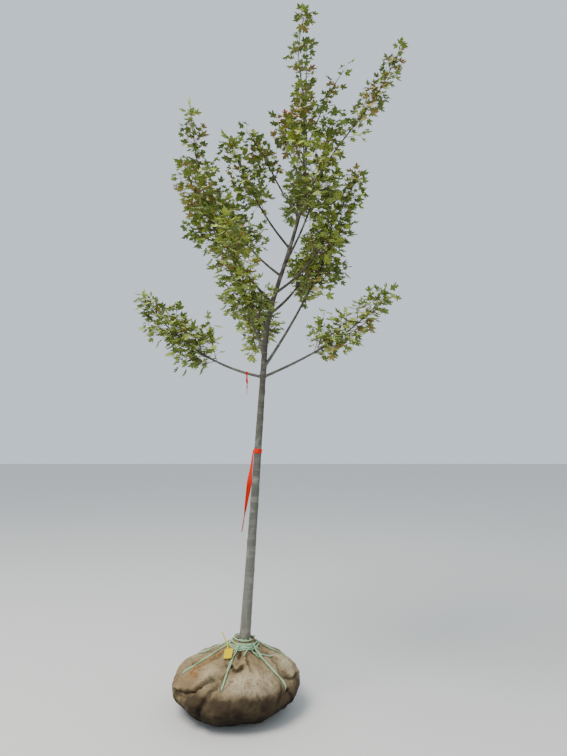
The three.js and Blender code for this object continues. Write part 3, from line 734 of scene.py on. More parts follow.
# %% [markdown]
# ## Twigs and leaves by a rule
#
# A maple sets its twigs and leaves in pairs, each pair square to the last. The frame's solids
# follow that rule coarsely, and the same rule runs here down to the leaf stalks: twigs at the
# same places, shorter shoots between them, and a pair of leaves every few centimetres. A mass
# keeps to its own space, which is whatever lies nearer to its stem than to any other.

# %% Each mass's own space
NODE_SPACING = 140  # between the pairs of twigs along a stem, as in the frame
LEAF_CLEARANCE = 7  # between a leaf and the wood
SPACE_MARGIN = 4  # how much nearer a leaf has to be to its own stem than to another
BARE_TRUNK_TOP = 1700  # a little below the lowest boughs


def crossways(way, turn):
    """A direction square to an axis, at a turn round it."""
    reference = (0, 1, 0) if abs(way[0]) > 0.9 else (1, 0, 0)
    second = unit(np.cross(way, reference))
    return np.cross(second, way) * math.cos(turn) + second * math.sin(turn)


wood_heights = np.linspace(BARE_TRUNK_TOP, FORK_HEIGHT, 90)
wood_points = [trunk_point(wood_heights)]
wood_radii = [trunk_radius(wood_heights)]
for index in range(LEADER):
    bare_share = np.linspace(0, LIMBS[index][6], 15)
    wood_points.append(limb_point(index, bare_share))
    wood_radii.append(limb_radius(index, bare_share))
WOOD_POINTS, WOOD_RADII = np.vstack(wood_points), np.hstack(wood_radii)
STEMS = np.array([limb_point(i, np.linspace(limb[6], 1, 15)) for i, limb in enumerate(LIMBS)])


print(len(WOOD_POINTS), "points of bare wood and", len(STEMS), "stems of leaves")


def in_own_space(index, points):
    """Whether points in mm are clear of the wood and nearer to their own stem than to others."""
    points = np.atleast_2d(points)
    to_wood = np.linalg.norm(points[:, None] - WOOD_POINTS, axis=2) - WOOD_RADII
    if to_wood.min() < LEAF_CLEARANCE:
        return False
    near = np.linalg.norm(points[:, None, None] - STEMS, axis=3).min(2)
    own = near[:, index].copy()
    near[:, index] = 1e9
    return bool((near.min(1) > own + SPACE_MARGIN).all())


# %% How leaves and twigs stand
UP = np.array([0.0, 0.0, 1.0])
TURNS_TRIED = (0, 0.6, -0.6, 1.2, -1.2)
STALK = 41.0  # length of a leaf's stalk
BLADE = 51.0  # length of a full-grown blade
LEAF_ANGLE = math.radians(58)  # between a twig and its leaves
TWIG_ANGLE = 0.84  # between a stem and its twigs, before they turn up
TWIG_RISE = 0.55  # how far a twig turns up
LEAF_SPACING = 39  # between the pairs of leaves along a twig
TWIG_TUFT = ((0.4, 14), (1.9, 52), (1.9 + math.pi, 52))  # turn and degrees from the twig at its tip


# %% Leaves and their stalks
class Foliage:
    """Collects the twigs, stalks and leaves of the whole crown while it grows."""

    def __init__(self):
        self.twigs, self.stalks, self.leaves = [], [], []

    def leaf(self, index, base, way, turn, angle, size, tint, draw):
        """A leaf off an axis, turned aside where it doesn't fit and left out where it can't."""
        droop = 0.35 + 0.75 * draw()
        tilt = np.array([draw() - 0.5, draw() - 0.5, 0]) * 0.9
        reach = 0.75 + 0.5 * draw()
        for aside in TURNS_TRIED:
            outward = crossways(way, turn + aside)
            rise = unit(way * math.cos(angle) + outward * math.sin(angle) + UP * 0.12)
            joint = base + rise * STALK * size * reach
            along = unit(rise - UP * droop)
            side = unit(np.cross(UP + outward * 0.3 + tilt, along))
            face = np.cross(along, side) * -1
            side = np.cross(along, face)
            tip = joint + along * BLADE * size
            if in_own_space(index, [joint, (joint + tip) / 2, tip]):
                middle = (base + joint) / 2 + UP * 2.5 - along * 1.5
                self.stalks.append(([base, middle, joint], [1.1, 0.75, 0.7]))
                self.leaves.append((joint, side, along, face, size, int(draw() * 3), tint))
                return

    def shoot(self, index, base, way, turn, length, radius, tint, draw, finer=True):
        """A twig with its pairs of leaves, and finer twigs on the lower half of a long one."""
        outward = crossways(way, turn)
        start = unit(way * math.cos(TWIG_ANGLE) + outward * math.sin(TWIG_ANGLE))
        finish = unit(start + UP * TWIG_RISE)
        middle, tip = base + start * length / 2, base + (start + finish) * length / 2
        if not (in_own_space(index, middle) and in_own_space(index, tip)):
            return False
        curve = np.linspace(0, 1, 7)[:, None]
        line = base + start * length * curve + (finish - start) * length / 2 * curve**2
        zigzag = crossways(start, turn + 1.3) * np.array([0, 1, -0.6, 0.9, -0.8, 0.5, 0])[:, None]
        line = line + zigzag * min(3.0, length / 60)
        self.twigs.append((line, np.linspace(radius, 0.9, 7)))
        nodes = max(1, round(length / LEAF_SPACING) - 1)
        for i in range(2 * nodes):
            pair, second = divmod(i, 2)
            share = (pair + 0.8) / (nodes + 0.7)
            if nodes == 1:
                place = line[0] * (1 - share) + line[-1] * share
            else:
                place = on_rows(share * (len(line) - 1), np.arange(len(line)), line)
            heading = unit(start + (finish - start) * share)
            leaf_turn = turn + pair % 2 * math.pi / 2 + second * math.pi
            if finer and length > 150 and share < 0.62 and draw() < 0.55:
                short = length * (0.2 + 0.2 * draw()) * (1.1 - share)
                if self.shoot(index, place, heading, leaf_turn, short, 1.3, tint, draw, False):
                    continue
            size = 0.78 + 0.34 * draw()
            self.leaf(index, place, heading, leaf_turn, LEAF_ANGLE, size, tint, draw)
        for last_turn, angle in TWIG_TUFT:
            size = 0.55 + 0.35 * draw()
            self.leaf(index, line[-1], finish, turn + last_turn, math.radians(angle), size, tint, draw)
        return True


# %% [markdown]
# The tints are dealt out by spray: most twigs are one of three greens, and a few near the tips
# have turned bronze or red. Tints that are told by place are kept as separate pieces, each in
# one plain colour.

# %% Tints by spray
TINTS = {
    "deep": "4b6022",
    "olive": "6b7f2c",
    "bright": "8c9c34",
    "bronze": "8a6a30",
    "red": "a63c2c",
}
RED_REACH = 90
RED_SPOTS = [
    # sprays within this reach of these points, in mm, have mostly turned red
    (-560, 0, 3120),
    (-500, 0, 3240),
    (290, 0, 3700),
    (320, 0, 3560),
    (-120, 0, 3330),
]


def spray_tint(place, draw):
    chance = draw()
    distance = min(math.hypot(place[0] - spot[0], place[2] - spot[2]) for spot in RED_SPOTS)
    if distance < RED_REACH and chance < 0.6:
        return "red"
    # higher sprays more often take the deep green and lower ones the bright: painted shade high in the crown
    # and painted light low in it
    high = (place[2] - 2200) / 2000
    if chance > 0.93 - 0.12 * high:
        return "bronze"
    return "deep" if chance < 0.2 + 0.35 * high else "olive" if chance < 0.62 + 0.2 * high else "bright"


# %% Shoots along a limb
crown = Foliage()
# shoots that follow each pair of twigs: how far on, as a share of the spacing, and how long
SPIRE_SHOOTS = ((0, 1.0), (0.34, 0.4), (0.67, 0.5))
BUSHY_SHOOTS = ((0, 1.0), (0.25, 0.5), (0.5, 0.72), (0.75, 0.5))
TOP_SHOOTS = ((0.7, 40), (2.8, 34), (4.9, 36))  # turn and length of the two leaders' last shoots
TOP_SHOOTS_BELOW = 14  # mm from the tip back to where they start
TIP_TUFT = ((0, 8, 0), (1.57, 50, 4), (-1.57, 50, 4), (0, 55, 20), (3.14, 55, 20))
# each leaf of the tuft has its turn, its angle from the stem in degrees and its mm from the tip
LAST_SHARE = 0.97  # no shoot stands further along its stem
SHORTEST_SHOOT = 34  # where no longer one fits, a single leaf takes its place
THICK_SHOOT, THIN_SHOOT = 2.2, 1.6  # radius at the base


def grow_mass(index):
    """Grows one limb's pairs of twigs, the shorter shoots between them and the tuft at its tip."""
    name, _, _, length, _, _, bare_share, bush = LIMBS[index]
    stem_length = length * (1 - bare_share)
    nodes = math.floor(stem_length / NODE_SPACING - 0.4)
    for i in range(2 * nodes):
        pair, second = divmod(i, 2)
        draw = seeded(1000 * (index + 1) + 10 * pair + second)
        along = (NODE_SPACING * (pair + 0.6) + 9 * second) / stem_length
        turn = index * 0.7 + pair % 2 * math.pi / 2 + second * math.pi + (draw() - 0.5) * 0.7
        reach = bush * length * (1 - along) ** 0.7 * (0.8 + 0.45 * draw())
        for offset, part in SPIRE_SHOOTS if bush < 0.2 else BUSHY_SHOOTS:
            share = along + offset * NODE_SPACING / stem_length
            if share > LAST_SHARE:
                continue
            place = limb_point(index, bare_share + (1 - bare_share) * share)
            way = limb_way(index, bare_share + (1 - bare_share) * share)
            spin = turn + offset * 2.2 * math.pi
            tint = spray_tint(place, draw)
            tries = [reach * part * shorter for shorter in (1, 0.75, 0.5)]
            thick = THICK_SHOOT if part == 1 else THIN_SHOOT
            if not any(
                long > SHORTEST_SHOOT and crown.shoot(index, place, way, spin, long, thick, tint, draw)
                for long in tries
            ):
                crown.leaf(index, place, way, spin, 1.0, 0.8 + 0.3 * draw(), tint, draw)
    draw = seeded(77 + index)
    way, tip = limb_way(index, 1), limb_point(index, 1)
    tint = spray_tint(tip, draw)
    for turn, angle, back in TIP_TUFT:
        size = 0.7 + 0.3 * draw() + (0.35 if back == 0 else 0)
        crown.leaf(index, tip - way * back, way, index + turn, math.radians(angle), size, tint, draw)
    for turn, length in TOP_SHOOTS if "leader" in name else ():
        crown.shoot(index, tip - way * TOP_SHOOTS_BELOW, way, index + turn, length, 1.5, tint, draw)


# %% Grow the crown
for index in range(len(LIMBS)):
    grow_mass(index)
print(len(crown.twigs), "twigs and", len(crown.leaves), "leaves")

# %% [markdown]
# ## Twigs as tubes
#
# Twigs and leaf stalks follow paths, so one node tree makes both: it turns edges into curves,
# reads a girth from each point, and sweeps a small ring along them. The paths of all the twigs
# go in as one mesh of edges.

# %% The tree that sweeps a ring along paths
def sweep_tree():
    tree, given, out = growing_tree("sweep along paths", {"Sides": 5})
    curves = node(tree, "GeometryNodeMeshToCurve", {0: given["Geometry"]}).outputs[0]
    girth = node(tree, "GeometryNodeInputNamedAttribute", {"Name": "girth"}, data_type="FLOAT").outputs[0]
    ring = node(tree, "GeometryNodeCurvePrimitiveCircle", {"Resolution": given["Sides"], "Radius": 1.0})
    sweep = {"Curve": curves, "Profile Curve": ring.outputs["Curve"], "Scale": girth, "Fill Caps": True}
    return finished(tree, node(tree, "GeometryNodeCurveToMesh", sweep), given, out)


SWEEP = sweep_tree()
print(f"{SWEEP.name}: {len(SWEEP.nodes)} nodes")


def path_mesh(name, lines):
    """A mesh of edges along lines of points in mm."""
    edges, start = [], 0
    for line in lines:
        edges += [(start + i, start + i + 1) for i in range(len(line) - 1)]
        start += len(line)
    return mesh_piece(name, np.vstack(lines) * MM, [], edges)


def swept(name, paths, finish, sides):
    """Tubes along paths, each given as points and radii in mm."""
    lines = path_mesh(name + "_paths", [line for line, _ in paths])
    keep_value(lines, "girth", np.hstack([radii for _, radii in paths]) * MM)
    return grown_by(SWEEP, name, lines, {"Sides": sides, "Finish": finish})


# %% Twigs and stalks
def twig_material(name, light, dark, roughness):
    made, tree = new_material(name, roughness)
    parts = patches(tree, 34)
    return painted(made, mixed(tree, parts["Mask"], light, dark), parts["Height"], 0.0008)


FOLIAGE_NODES = ["foliage_" + limb[0] for limb in LIMBS]
TWIG_BARK = twig_material("twig_bark", "66523f", "463529", 0.65)
STALK_SKIN = twig_material("stalk_skin", "8f7438", "84492f", 0.5)
twigs = swept("twigs", crown.twigs, TWIG_BARK, 5)
dress(twigs, None, "young_bark", *FOLIAGE_NODES)
stalks = swept("leaf_stalks", crown.stalks, STALK_SKIN, 4)
dress(stalks, None, "leaves", *FOLIAGE_NODES)

# %% [markdown]
# ## The leaf
#
# A maple leaf has five lobes, each with its own vein from the joint with the stalk. Half of the
# outline is listed and mirrored. A value of 0 on the veins and 1 in the notches lets the
# material draw the veins without a picture. Three blades, cupped, folded and waved, are enough
# variety when each is turned and sized differently.

# %% Blades
HALF_LEAF = [
    # across, along and how far from a vein
    (0.15, -0.06, 0.7),
    (0.42, 0.02, 0.0),
    (0.26, 0.16, 1.0),
    (0.47, 0.33, 0.8),
    (0.6, 0.57, 0.0),
    (0.33, 0.5, 0.8),
    (0.17, 0.44, 1.0),
    (0.25, 0.7, 0.8),
    (0.1, 0.79, 0.7),
    (0.21, 0.26, 0.0),
]
HALF_FACES = [
    ("joint", 0, 1),
    ("joint", 1, 2),
    ("joint", 2, 9),
    (9, 2, 3),
    (9, 3, 4),
    (9, 4, 5),
    (9, 5, 6),
    ("joint", 9, 6),
    ("joint", 6, "rib"),
    ("rib", 6, 7),
    ("rib", 7, 8),
    ("rib", 8, "tip"),
]


def blade(name, cup, fold, wave):
    """A leaf blade one unit long, along Y, with its upper face to +Z."""
    points, vein = [(0, 0, 0), (0, 0.46, 0), (0, 1, 0)], [0.0, 0.0, 0.0]
    middle = {"joint": 0, "rib": 1, "tip": 2}
    faces = []
    for side in (1, -1):
        start = len(points)
        for across, along, off_vein in HALF_LEAF:
            points.append((across * side, along, 0))
            vein.append(off_vein)
        for face in HALF_FACES:
            corners = [middle[c] if isinstance(c, str) else start + c for c in face]
            faces.append(tuple(corners if side == 1 else corners[::-1]))
    points = np.array(points, float)
    x, y = points[:, 0], points[:, 1]
    points[:, 2] = 0.07 * np.array(vein) + fold * np.abs(x) - cup * (x**2 + (y - 0.2) ** 2)
    points[:, 2] += wave * np.sin(7 * x + 5 * y)
    piece = mesh_piece(name, points, faces)
    piece.data.shade_flat()
    keep_value(piece, "vein", np.array(vein))
    bpy.context.scene.collection.objects.unlink(piece)
    return piece


BLADES = bpy.data.collections.new("blades")
for made in (
    blade("blade_cupped", 0.22, 0.12, 0.0),
    blade("blade_folded", 0.1, 0.42, 0.02),
    blade("blade_waved", 0.3, 0.05, 0.05),
):
    BLADES.objects.link(made)

# %% [markdown]
# ## Leaves in sprays
#
# The leaves are the same shape thousands of times over, so they are instances: each point
# carries its turn, its size and which blade it takes. The tree ends by making them real.

# %% The tree that sets leaves on their stalks
def leaf_tree():
    tree, given, out = growing_tree("leaves on stalks", {"Blades": "Collection", "Blade length": 0.056})
    choice = node(
        tree,
        "GeometryNodeCollectionInfo",
        {"Collection": given["Blades"], "Separate Children": True, "Reset Children": True},
    )
    kind, turn, growth = (
        node(tree, "GeometryNodeInputNamedAttribute", {"Name": name}, data_type=values).outputs[0]
        for name, values in (("blade", "INT"), ("turn", "FLOAT_VECTOR"), ("growth", "FLOAT"))
    )
    pick = {"Instance": choice.outputs[0], "Pick Instance": True, "Instance Index": kind}
    turned = node(tree, "FunctionNodeEulerToRotation", {0: turn}).outputs[0]
    size = maths(tree, "MULTIPLY", growth, given["Blade length"])
    where = {"Points": given["Geometry"], "Rotation": turned, "Scale": size}
    placed = node(tree, "GeometryNodeInstanceOnPoints", {**pick, **where})
    return finished(tree, placed, given, out)


LEAF_TREE = leaf_tree()
print(f"{LEAF_TREE.name}: {len(LEAF_TREE.nodes)} nodes")


# %% Leaf finish
def leaf_material(name, tone):
    """A thin leaf, slightly glossy, paler below, with light veins and slight mottling."""
    made, tree = new_material(name, 0.48, 0.35)
    vein = node(tree, "ShaderNodeAttribute", attribute_name="vein").outputs["Fac"]
    cells = patches(tree, 7, 0.5, 0.25)
    above = mixed(tree, cells["Mask"], tone, mixed(tree, 0.3, tone, "b6bd5c"))
    veined = mixed(tree, ranged(tree, vein, 0.02, 0.14, 0.5, 0.0), above, "b9bd74")
    behind = node(tree, "ShaderNodeNewGeometry").outputs["Backfacing"]
    both_sides = mixed(tree, behind, veined, mixed(tree, 0.16, veined, "a9b47c"))
    return painted(made, both_sides, cells["Height"], 0.001)


# %% Set the leaves
def leaf_points(name, leaves):
    piece = mesh_piece(name, np.array([leaf[0] for leaf in leaves]) * MM, [])
    turns = [Matrix(np.array(leaf[1:4]).T.tolist()).to_euler() for leaf in leaves]
    keep_value(piece, "turn", np.array([tuple(turn) for turn in turns]))
    keep_value(piece, "growth", np.array([leaf[4] for leaf in leaves], float))
    keep_value(piece, "blade", np.array([leaf[5] for leaf in leaves], int))
    return piece


for tint, tone in TINTS.items():
    points = leaf_points("points_" + tint, [leaf for leaf in crown.leaves if leaf[6] == tint])
    settings = {"Blades": BLADES, "Blade length": BLADE * MM, "Finish": leaf_material("leaf_" + tint, tone)}
    leaves = grown_by(LEAF_TREE, "leaves_" + tint, points, settings)
    dress(leaves, None, "leaves", *FOLIAGE_NODES)

# %% [markdown]
# ## The burlap ball
#
# The roots are dug with their soil and wrapped in burlap, which is gathered round the foot of
# the trunk and laced down with twine. Cloth over heavy soil doesn't hang: it is drawn into
# folds that fan out from the neck, sinks into valleys between them, is pinched under the twine,
# and laps over itself in a few loose edges. All of these are heights added to one closed
# surface, and at a lap the cloth also slips downhill, so that its edge hangs over the cloth
# below and casts a shadow.

# %% The ball's form
BALL_PROFILE = np.array(
    [
        # radius and height from the edge of the flat underside to the rim of the neck
        (182, 0),
        (248, 20),
        (308, 58),
        (345, 106),
        (349, 152),
        (322, 198),
        (270, 236),
        (204, 268),
        (140, 295),
        (90, 321),
        (60, 350),
        (50, 370),
    ],
    float,
)
BALL_TOP = len(BALL_PROFILE) - 1
print("the profile is", round(2 * BALL_PROFILE[:, 0].max()), "mm wide")


def smooth_profile(place):
    """The profile between its rows, on a smooth curve."""
    ends = np.vstack([BALL_PROFILE[0] * 1.02, BALL_PROFILE, 2 * BALL_PROFILE[-1] - BALL_PROFILE[-2]])
    low = np.clip(np.floor(place).astype(int), 0, BALL_TOP - 1)
    t = (place - low)[..., None]
    a, b, c, d = (ends[low + k] for k in range(4))
    return 0.5 * (2 * b + (c - a) * t + (2 * a - 5 * b + 4 * c - d) * t**2 + (3 * b - a - 3 * c + d) * t**3)


def plain_ball(azimuth, place):
    """The frame's ball: a point in mm for azimuths in radians and places from 0 to 11."""
    radius, height = np.moveaxis(smooth_profile(place), -1, 0)
    shoulder = np.sin(np.pi * place / BALL_TOP) ** 2
    lobes = 0.016 * np.cos(2 * azimuth + 0.6) - 0.008 * np.cos(azimuth) + 0.014 * np.cos(3 * azimuth - 1.1)
    folds = 0.012 * np.cos(7 * azimuth + 0.4) * shoulder
    settled = (9 * np.cos(azimuth - 0.1) + 4 * np.cos(5 * azimuth)) * shoulder
    neck_share = np.maximum(height, 0) / BALL_PROFILE[-1, 1]
    middle = trunk_point(np.maximum(height, TRUNK_FOOT[2])) * neck_share[..., None] ** 3
    points = middle + circle(azimuth) * (radius * (1 + lobes + folds))[..., None]
    points[..., 2] = height + settled
    return points


# %% Strands and folds
STRANDS = [
    # azimuth of each strand of twine in degrees, and the place on the ball where it ends
    (14.6, 3.2),
    (63.2, 3.0),
    (111.9, 3.3),
    (150.8, 3.1),
    (189.7, 5.0),
    (257.8, 5.5),
    (325.9, 4.3),
]
FOLDS = [
    # ridges in the cloth: azimuth at the neck and at the foot, place of the foot, height and
    # width in mm
    (204, 196, 5.6, 11, 20),
    (222, 208, 4.8, 13, 24),
    (243, 232, 5.2, 10, 17),
    (266, 262, 6.6, 10, 14),
    (283, 289, 5.8, 12, 15),
    (296, 303, 4.6, 8, 28),
    (308, 313, 5.4, 9, 18),
    (340, 338, 5.0, 12, 18),
    (356, 352, 4.6, 12, 24),
    (28, 32, 4.6, 11, 22),
    (45, 47, 4.0, 12, 26),
    (80, 84, 4.6, 11, 22),
    (98, 94, 5.2, 12, 17),
    (124, 127, 4.2, 11, 24),
    (138, 136, 5.4, 12, 18),
    (166, 170, 4.4, 11, 24),
]

# %% Laps and valleys
LAPS = [
    # edges of lapped cloth: azimuth and place of each corner, and how far the edge stands up in mm
    ([(200, 4.2), (209, 4.4), (220, 4.7), (230, 4.9), (235, 5.5), (240, 6.1), (248, 6.5)], 18),
    ([(246, 7.9), (252, 7.55), (259, 7.75), (265, 7.35), (271, 7.15), (277, 7.25), (283, 7.7)], 18),
    ([(357, 8.4), (343, 7.0), (333, 5.7), (336, 5.0), (344, 5.1), (356, 4.6)], 15),
    ([(20, 4.6), (34, 4.2), (47, 4.5), (60, 5.3)], 15),
    ([(88, 7.4), (95, 5.9), (107, 5.1)], 13),
    ([(122, 4.2), (136, 4.7), (149, 4.6)], 16),
    ([(166, 7.4), (173, 6.4), (181, 6.2), (188, 7.0)], 13),
]
VALLEYS = [
    # cloth drawn in between folds: the line of each one's bottom, its depth and half width in mm
    ([(252, 6.3), (246, 5.1), (242, 3.9), (237, 2.6)], 30, 21),
    ([(202, 3.8), (216, 4.0), (232, 4.2)], 9, 9),
    ([(262, 9.5), (270, 8.9), (277, 8.2)], 16, 12),
    ([(288, 8.9), (290, 7.8), (293, 6.4)], 12, 9),
    ([(265, 8.2), (272, 8.0), (279, 8.3)], 8, 7),
    ([(328, 4.6), (332, 3.2), (339, 1.9)], 15, 10),
    ([(321, 4.8), (316, 4.1), (310, 3.4)], 9, 8),
    ([(222, 9.0), (218, 7.6), (212, 6.4)], 8, 10),
    ([(190, 5.0), (194, 3.9), (200, 2.8)], 15, 12),
    ([(30, 8.8), (36, 7.0), (40, 5.4)], 11, 12),
    ([(60, 4.8), (66, 3.8), (70, 2.6)], 16, 12),
    ([(100, 8.8), (92, 7.2), (88, 5.2)], 11, 12),
    ([(112, 3.4), (106, 2.4)], 12, 12),
    ([(132, 8.6), (137, 6.8), (141, 5.4)], 12, 12),
    ([(150, 3.4), (157, 2.3)], 13, 12),
    ([(174, 8.8), (168, 7.0), (164, 5.2)], 11, 12),
    ([(14, 3.4), (8, 2.4)], 13, 12),
]
PER_PLACE = 52  # mm of cloth between two rows of the ball's profile, on average
NECK_PLACE = 9.6  # where the folds begin
print(len(STRANDS), "strands,", len(FOLDS), "folds,", len(LAPS), "laps and", len(VALLEYS), "valleys")

# %% [markdown]
# A lap or a valley is a line of corners over the ball. Its corners are cut off twice, which
# rounds it, and each point of the cloth is then measured from it. A lap raises only the cloth on
# its left, so there the sign of the distance matters. Both fade towards their ends.

# %% Distances from an edge
EDGE_FADE = 28  # mm from each end of a line to where its lap or valley is full


def along_edge(azimuth, place, edge, radius):
    """Distance in mm from an edge, positive on its left, and how full it is: 0 at its two ends."""
    corners = np.array(edge, float)
    for _ in range(2):  # each round cuts every corner off
        corners[:, 0] = np.degrees(np.unwrap(np.radians(corners[:, 0])))
        cut = [corners[:-1] * 0.75 + corners[1:] * 0.25, corners[:-1] * 0.25 + corners[1:] * 0.75]
        corners = np.vstack([corners[:1], np.stack(cut, 1).reshape(-1, 2), corners[-1:]])
    best, signed = np.full(azimuth.shape, 1e9), np.zeros(azimuth.shape)
    for (a0, p0), (a1, p1) in zip(corners[:-1], corners[1:]):
        x = round_from(azimuth, a0) * radius
        y = (place - p0) * PER_PLACE
        dx, dy = np.radians(a1 - a0) * radius, (p1 - p0) * PER_PLACE
        t = np.clip((x * dx + y * dy) / (dx * dx + dy * dy), 0, 1)
        far = np.hypot(x - t * dx, y - t * dy)
        signed = np.where(far < best, np.sign(dx * y - dy * x) * far, signed)
        best = np.minimum(best, far)
    tips = [np.hypot(round_from(azimuth, a) * radius, (place - p) * PER_PLACE) for a, p in corners[[0, -1]]]
    return signed, smoothstep(0, EDGE_FADE, np.minimum(*tips))


# %% Wrinkles and relief
def wrinkles(azimuth, place, radius, size, seed):
    """Sharp-crested wrinkles of a size in mm, three times as long up the ball as they are wide."""
    across = np.stack([np.cos(azimuth), np.sin(azimuth)], -1) * radius[..., None] / size
    up = place[..., None] * PER_PLACE / (3 * size) + seed
    return 1 - 2.6 * np.abs(soft_noise(np.concatenate([across, up], -1), 1))


def burlap_relief(azimuth, place, points):
    """How far the cloth stands out and slips down in mm, and how much painted shade its creases take."""
    radius = smooth_profile(place)[..., 0]
    slope = smoothstep(3.4, 6.0, place)
    gather = smoothstep(8.2, 9.8, place)
    crease, slip = np.zeros(azimuth.shape), np.zeros(azimuth.shape)
    # lumps of soil, wrinkles of two sizes, and the pleats of the gathered neck
    relief = 8.0 * soft_noise(points, 130) + 4.0 * soft_noise(points, 55)
    relief += (1 - gather) * (2.8 * slope + 1.2) * wrinkles(azimuth, place, radius, 34, 3.0)
    relief += 1.0 * wrinkles(azimuth, place, radius, 13, 9.0)
    pleats = 3.4 * (1 - np.abs(np.cos(8 * azimuth + 0.6))) + 1.8 * (1 - np.abs(np.cos(13 * azimuth)))
    relief += gather * pleats
    for at_neck, at_foot, foot, height, width in FOLDS:
        share = np.clip((place - foot) / (NECK_PLACE - foot), 0, 1)
        off = round_from(azimuth, at_foot + (at_neck - at_foot) * share) * radius
        spread = width * (1.25 - 0.75 * share)
        long = smoothstep(foot - 0.4, foot + 1.6, place) * (1 - smoothstep(9.2, 10.2, place))
        relief += long * height * (1 - 0.5 * share) * np.exp(-np.hypot(off, 2) / spread)
    # a strand holds the cloth down, and its end pulls a star of puckers
    for degrees, end in STRANDS:
        off = round_from(azimuth, degrees) * radius
        up = (place - end) * PER_PLACE
        held = smoothstep(end - 0.3, end + 0.6, place) * (1 - smoothstep(9.0, 10.2, place))
        relief -= held * (7 * hump(off, 38) + 5 * np.exp(-np.hypot(off, 1.5) / 8))
        span = np.hypot(off, up)
        pucker = np.abs(np.cos(2.5 * np.arctan2(up, off) + degrees)) - 0.5
        relief += -12 * hump(span, 16) + 11 * pucker * np.exp(-span / 46) * smoothstep(4, 18, span)
        # painted shade in the pucker at the strand's end
        crease += 0.7 * hump(span, 13)
    # valleys and laps wander off their lines and swell along them
    wander = [9 * soft_noise(points + shift, 34) + 3 * soft_noise(points + shift, 13) for shift in (0, 400)]
    ragged = azimuth + wander[0] / radius, place + wander[1] / PER_PLACE
    swell = 0.85 + 0.6 * soft_noise(points, 80)
    for line, depth, width in VALLEYS:
        signed, full = along_edge(*ragged, line, radius)
        relief -= full * depth * swell * np.exp(-np.hypot(signed, 2) / width)
        relief += full * 0.35 * depth * hump(np.abs(signed) - 2.2 * width, width)
        # painted shade along the valley's bottom
        crease += 0.85 * full * hump(signed, 0.7 * width) * depth / 16
    for edge, lift in LAPS:
        signed, full = along_edge(*ragged, edge, radius)
        inside = np.clip(signed, 0, None)
        rolled = smoothstep(-1.5, 2.5, signed) * (np.exp(-inside / 70) + 0.25 * hump(inside - 6, 7))
        under = hump(signed + 7, 8) + 0.4 * hump(signed + 16, 22)
        relief += full * swell * lift * (rolled - 0.6 * under * (signed < 2))
        slip += full * 0.75 * lift * smoothstep(-1, 2, signed) * np.exp(-inside / 9)
        # painted shadow in the gap under the lap's edge
        crease += 0.95 * full * hump(signed + 5, 6)
    level = smoothstep(0.0, 1.0, place)
    return relief * level, slip * level, np.clip(crease, 0, 1)


# %% Cloth over the ball
CLOTH_COLUMNS, CLOTH_ROWS = 448, 200


def uphill(azimuth, place):
    above, below = np.minimum(place + 0.02, BALL_TOP), np.maximum(place - 0.02, 0)
    return unit(plain_ball(azimuth, above) - plain_ball(azimuth, below))


def outward(azimuth, place):
    across = plain_ball(azimuth + 0.02, place) - plain_ball(azimuth - 0.02, place)
    return unit(np.cross(across, uphill(azimuth, place)))


def cloth_point(azimuth, place, lift=0.0):
    """A point on the burlap in mm, or lifted off it."""
    points = plain_ball(azimuth, place)
    relief, slip, crease = burlap_relief(azimuth, place, points)
    moved = outward(azimuth, place) * (relief + lift)[..., None] - uphill(azimuth, place) * slip[..., None]
    return points + moved, crease


azimuths = np.linspace(0, 2 * np.pi, CLOTH_COLUMNS, endpoint=False)
places = np.linspace(0, BALL_TOP, CLOTH_ROWS)
grid_azimuth, grid_place = np.meshgrid(azimuths, places)
cloth, crease = cloth_point(grid_azimuth, grid_place)
cloth[..., 2] = np.maximum(cloth[..., 2], 0)
print("the ball is", round(np.ptp(cloth[..., 0])), "mm across")

# %% [markdown]
# The cloth has to close: below, a flat disc that the tree stands on, and above, a rim that turns
# in and runs down beside the trunk to its foot.

# %% Close the ball
def flat_ring(radius, height):
    centre = trunk_point(max(height, TRUNK_FOOT[2])) if height > 1 else np.zeros(3)
    ring = circle(azimuths) * radius + centre
    ring[:, 2] = height
    return ring


UNDERSIDE = (0.02, 0.35, 0.7)  # rings of the flat disc, as shares of its edge
below = [cloth[0] * (share, share, 0) for share in UNDERSIDE]
ruffle = 3.4 * np.abs(np.cos(9 * azimuths)) + 2.2 * np.cos(14 * azimuths + 1)
rim = cloth[-1] + ruffle[:, None] * UP
# heights inside the rim, and how far the cloth stands off the trunk there
TURNED_IN = [(370, 9.0), (368, 4.0), (361, 2.4), (335, 2.2), (301, 2.2)]
inside = [flat_ring(trunk_radius(height) + gap, height) for height, gap in TURNED_IN]
inside += [flat_ring(12.0, 296)]
rings = np.stack([*below, *cloth[:-1], rim, *inside])
ball = loft("burlap", rings * MM)
print(f"{ball.name}: {len(rings)} rings of {CLOTH_COLUMNS} points")


def for_rings(rows, low, high):
    """Values for every point of the closed ball from values for the rows of cloth."""
    lower, upper = np.full((len(below), CLOTH_COLUMNS), low), np.full((len(inside), CLOTH_COLUMNS), high)
    return np.append(np.vstack([lower, rows, upper]).ravel(), [low, high])
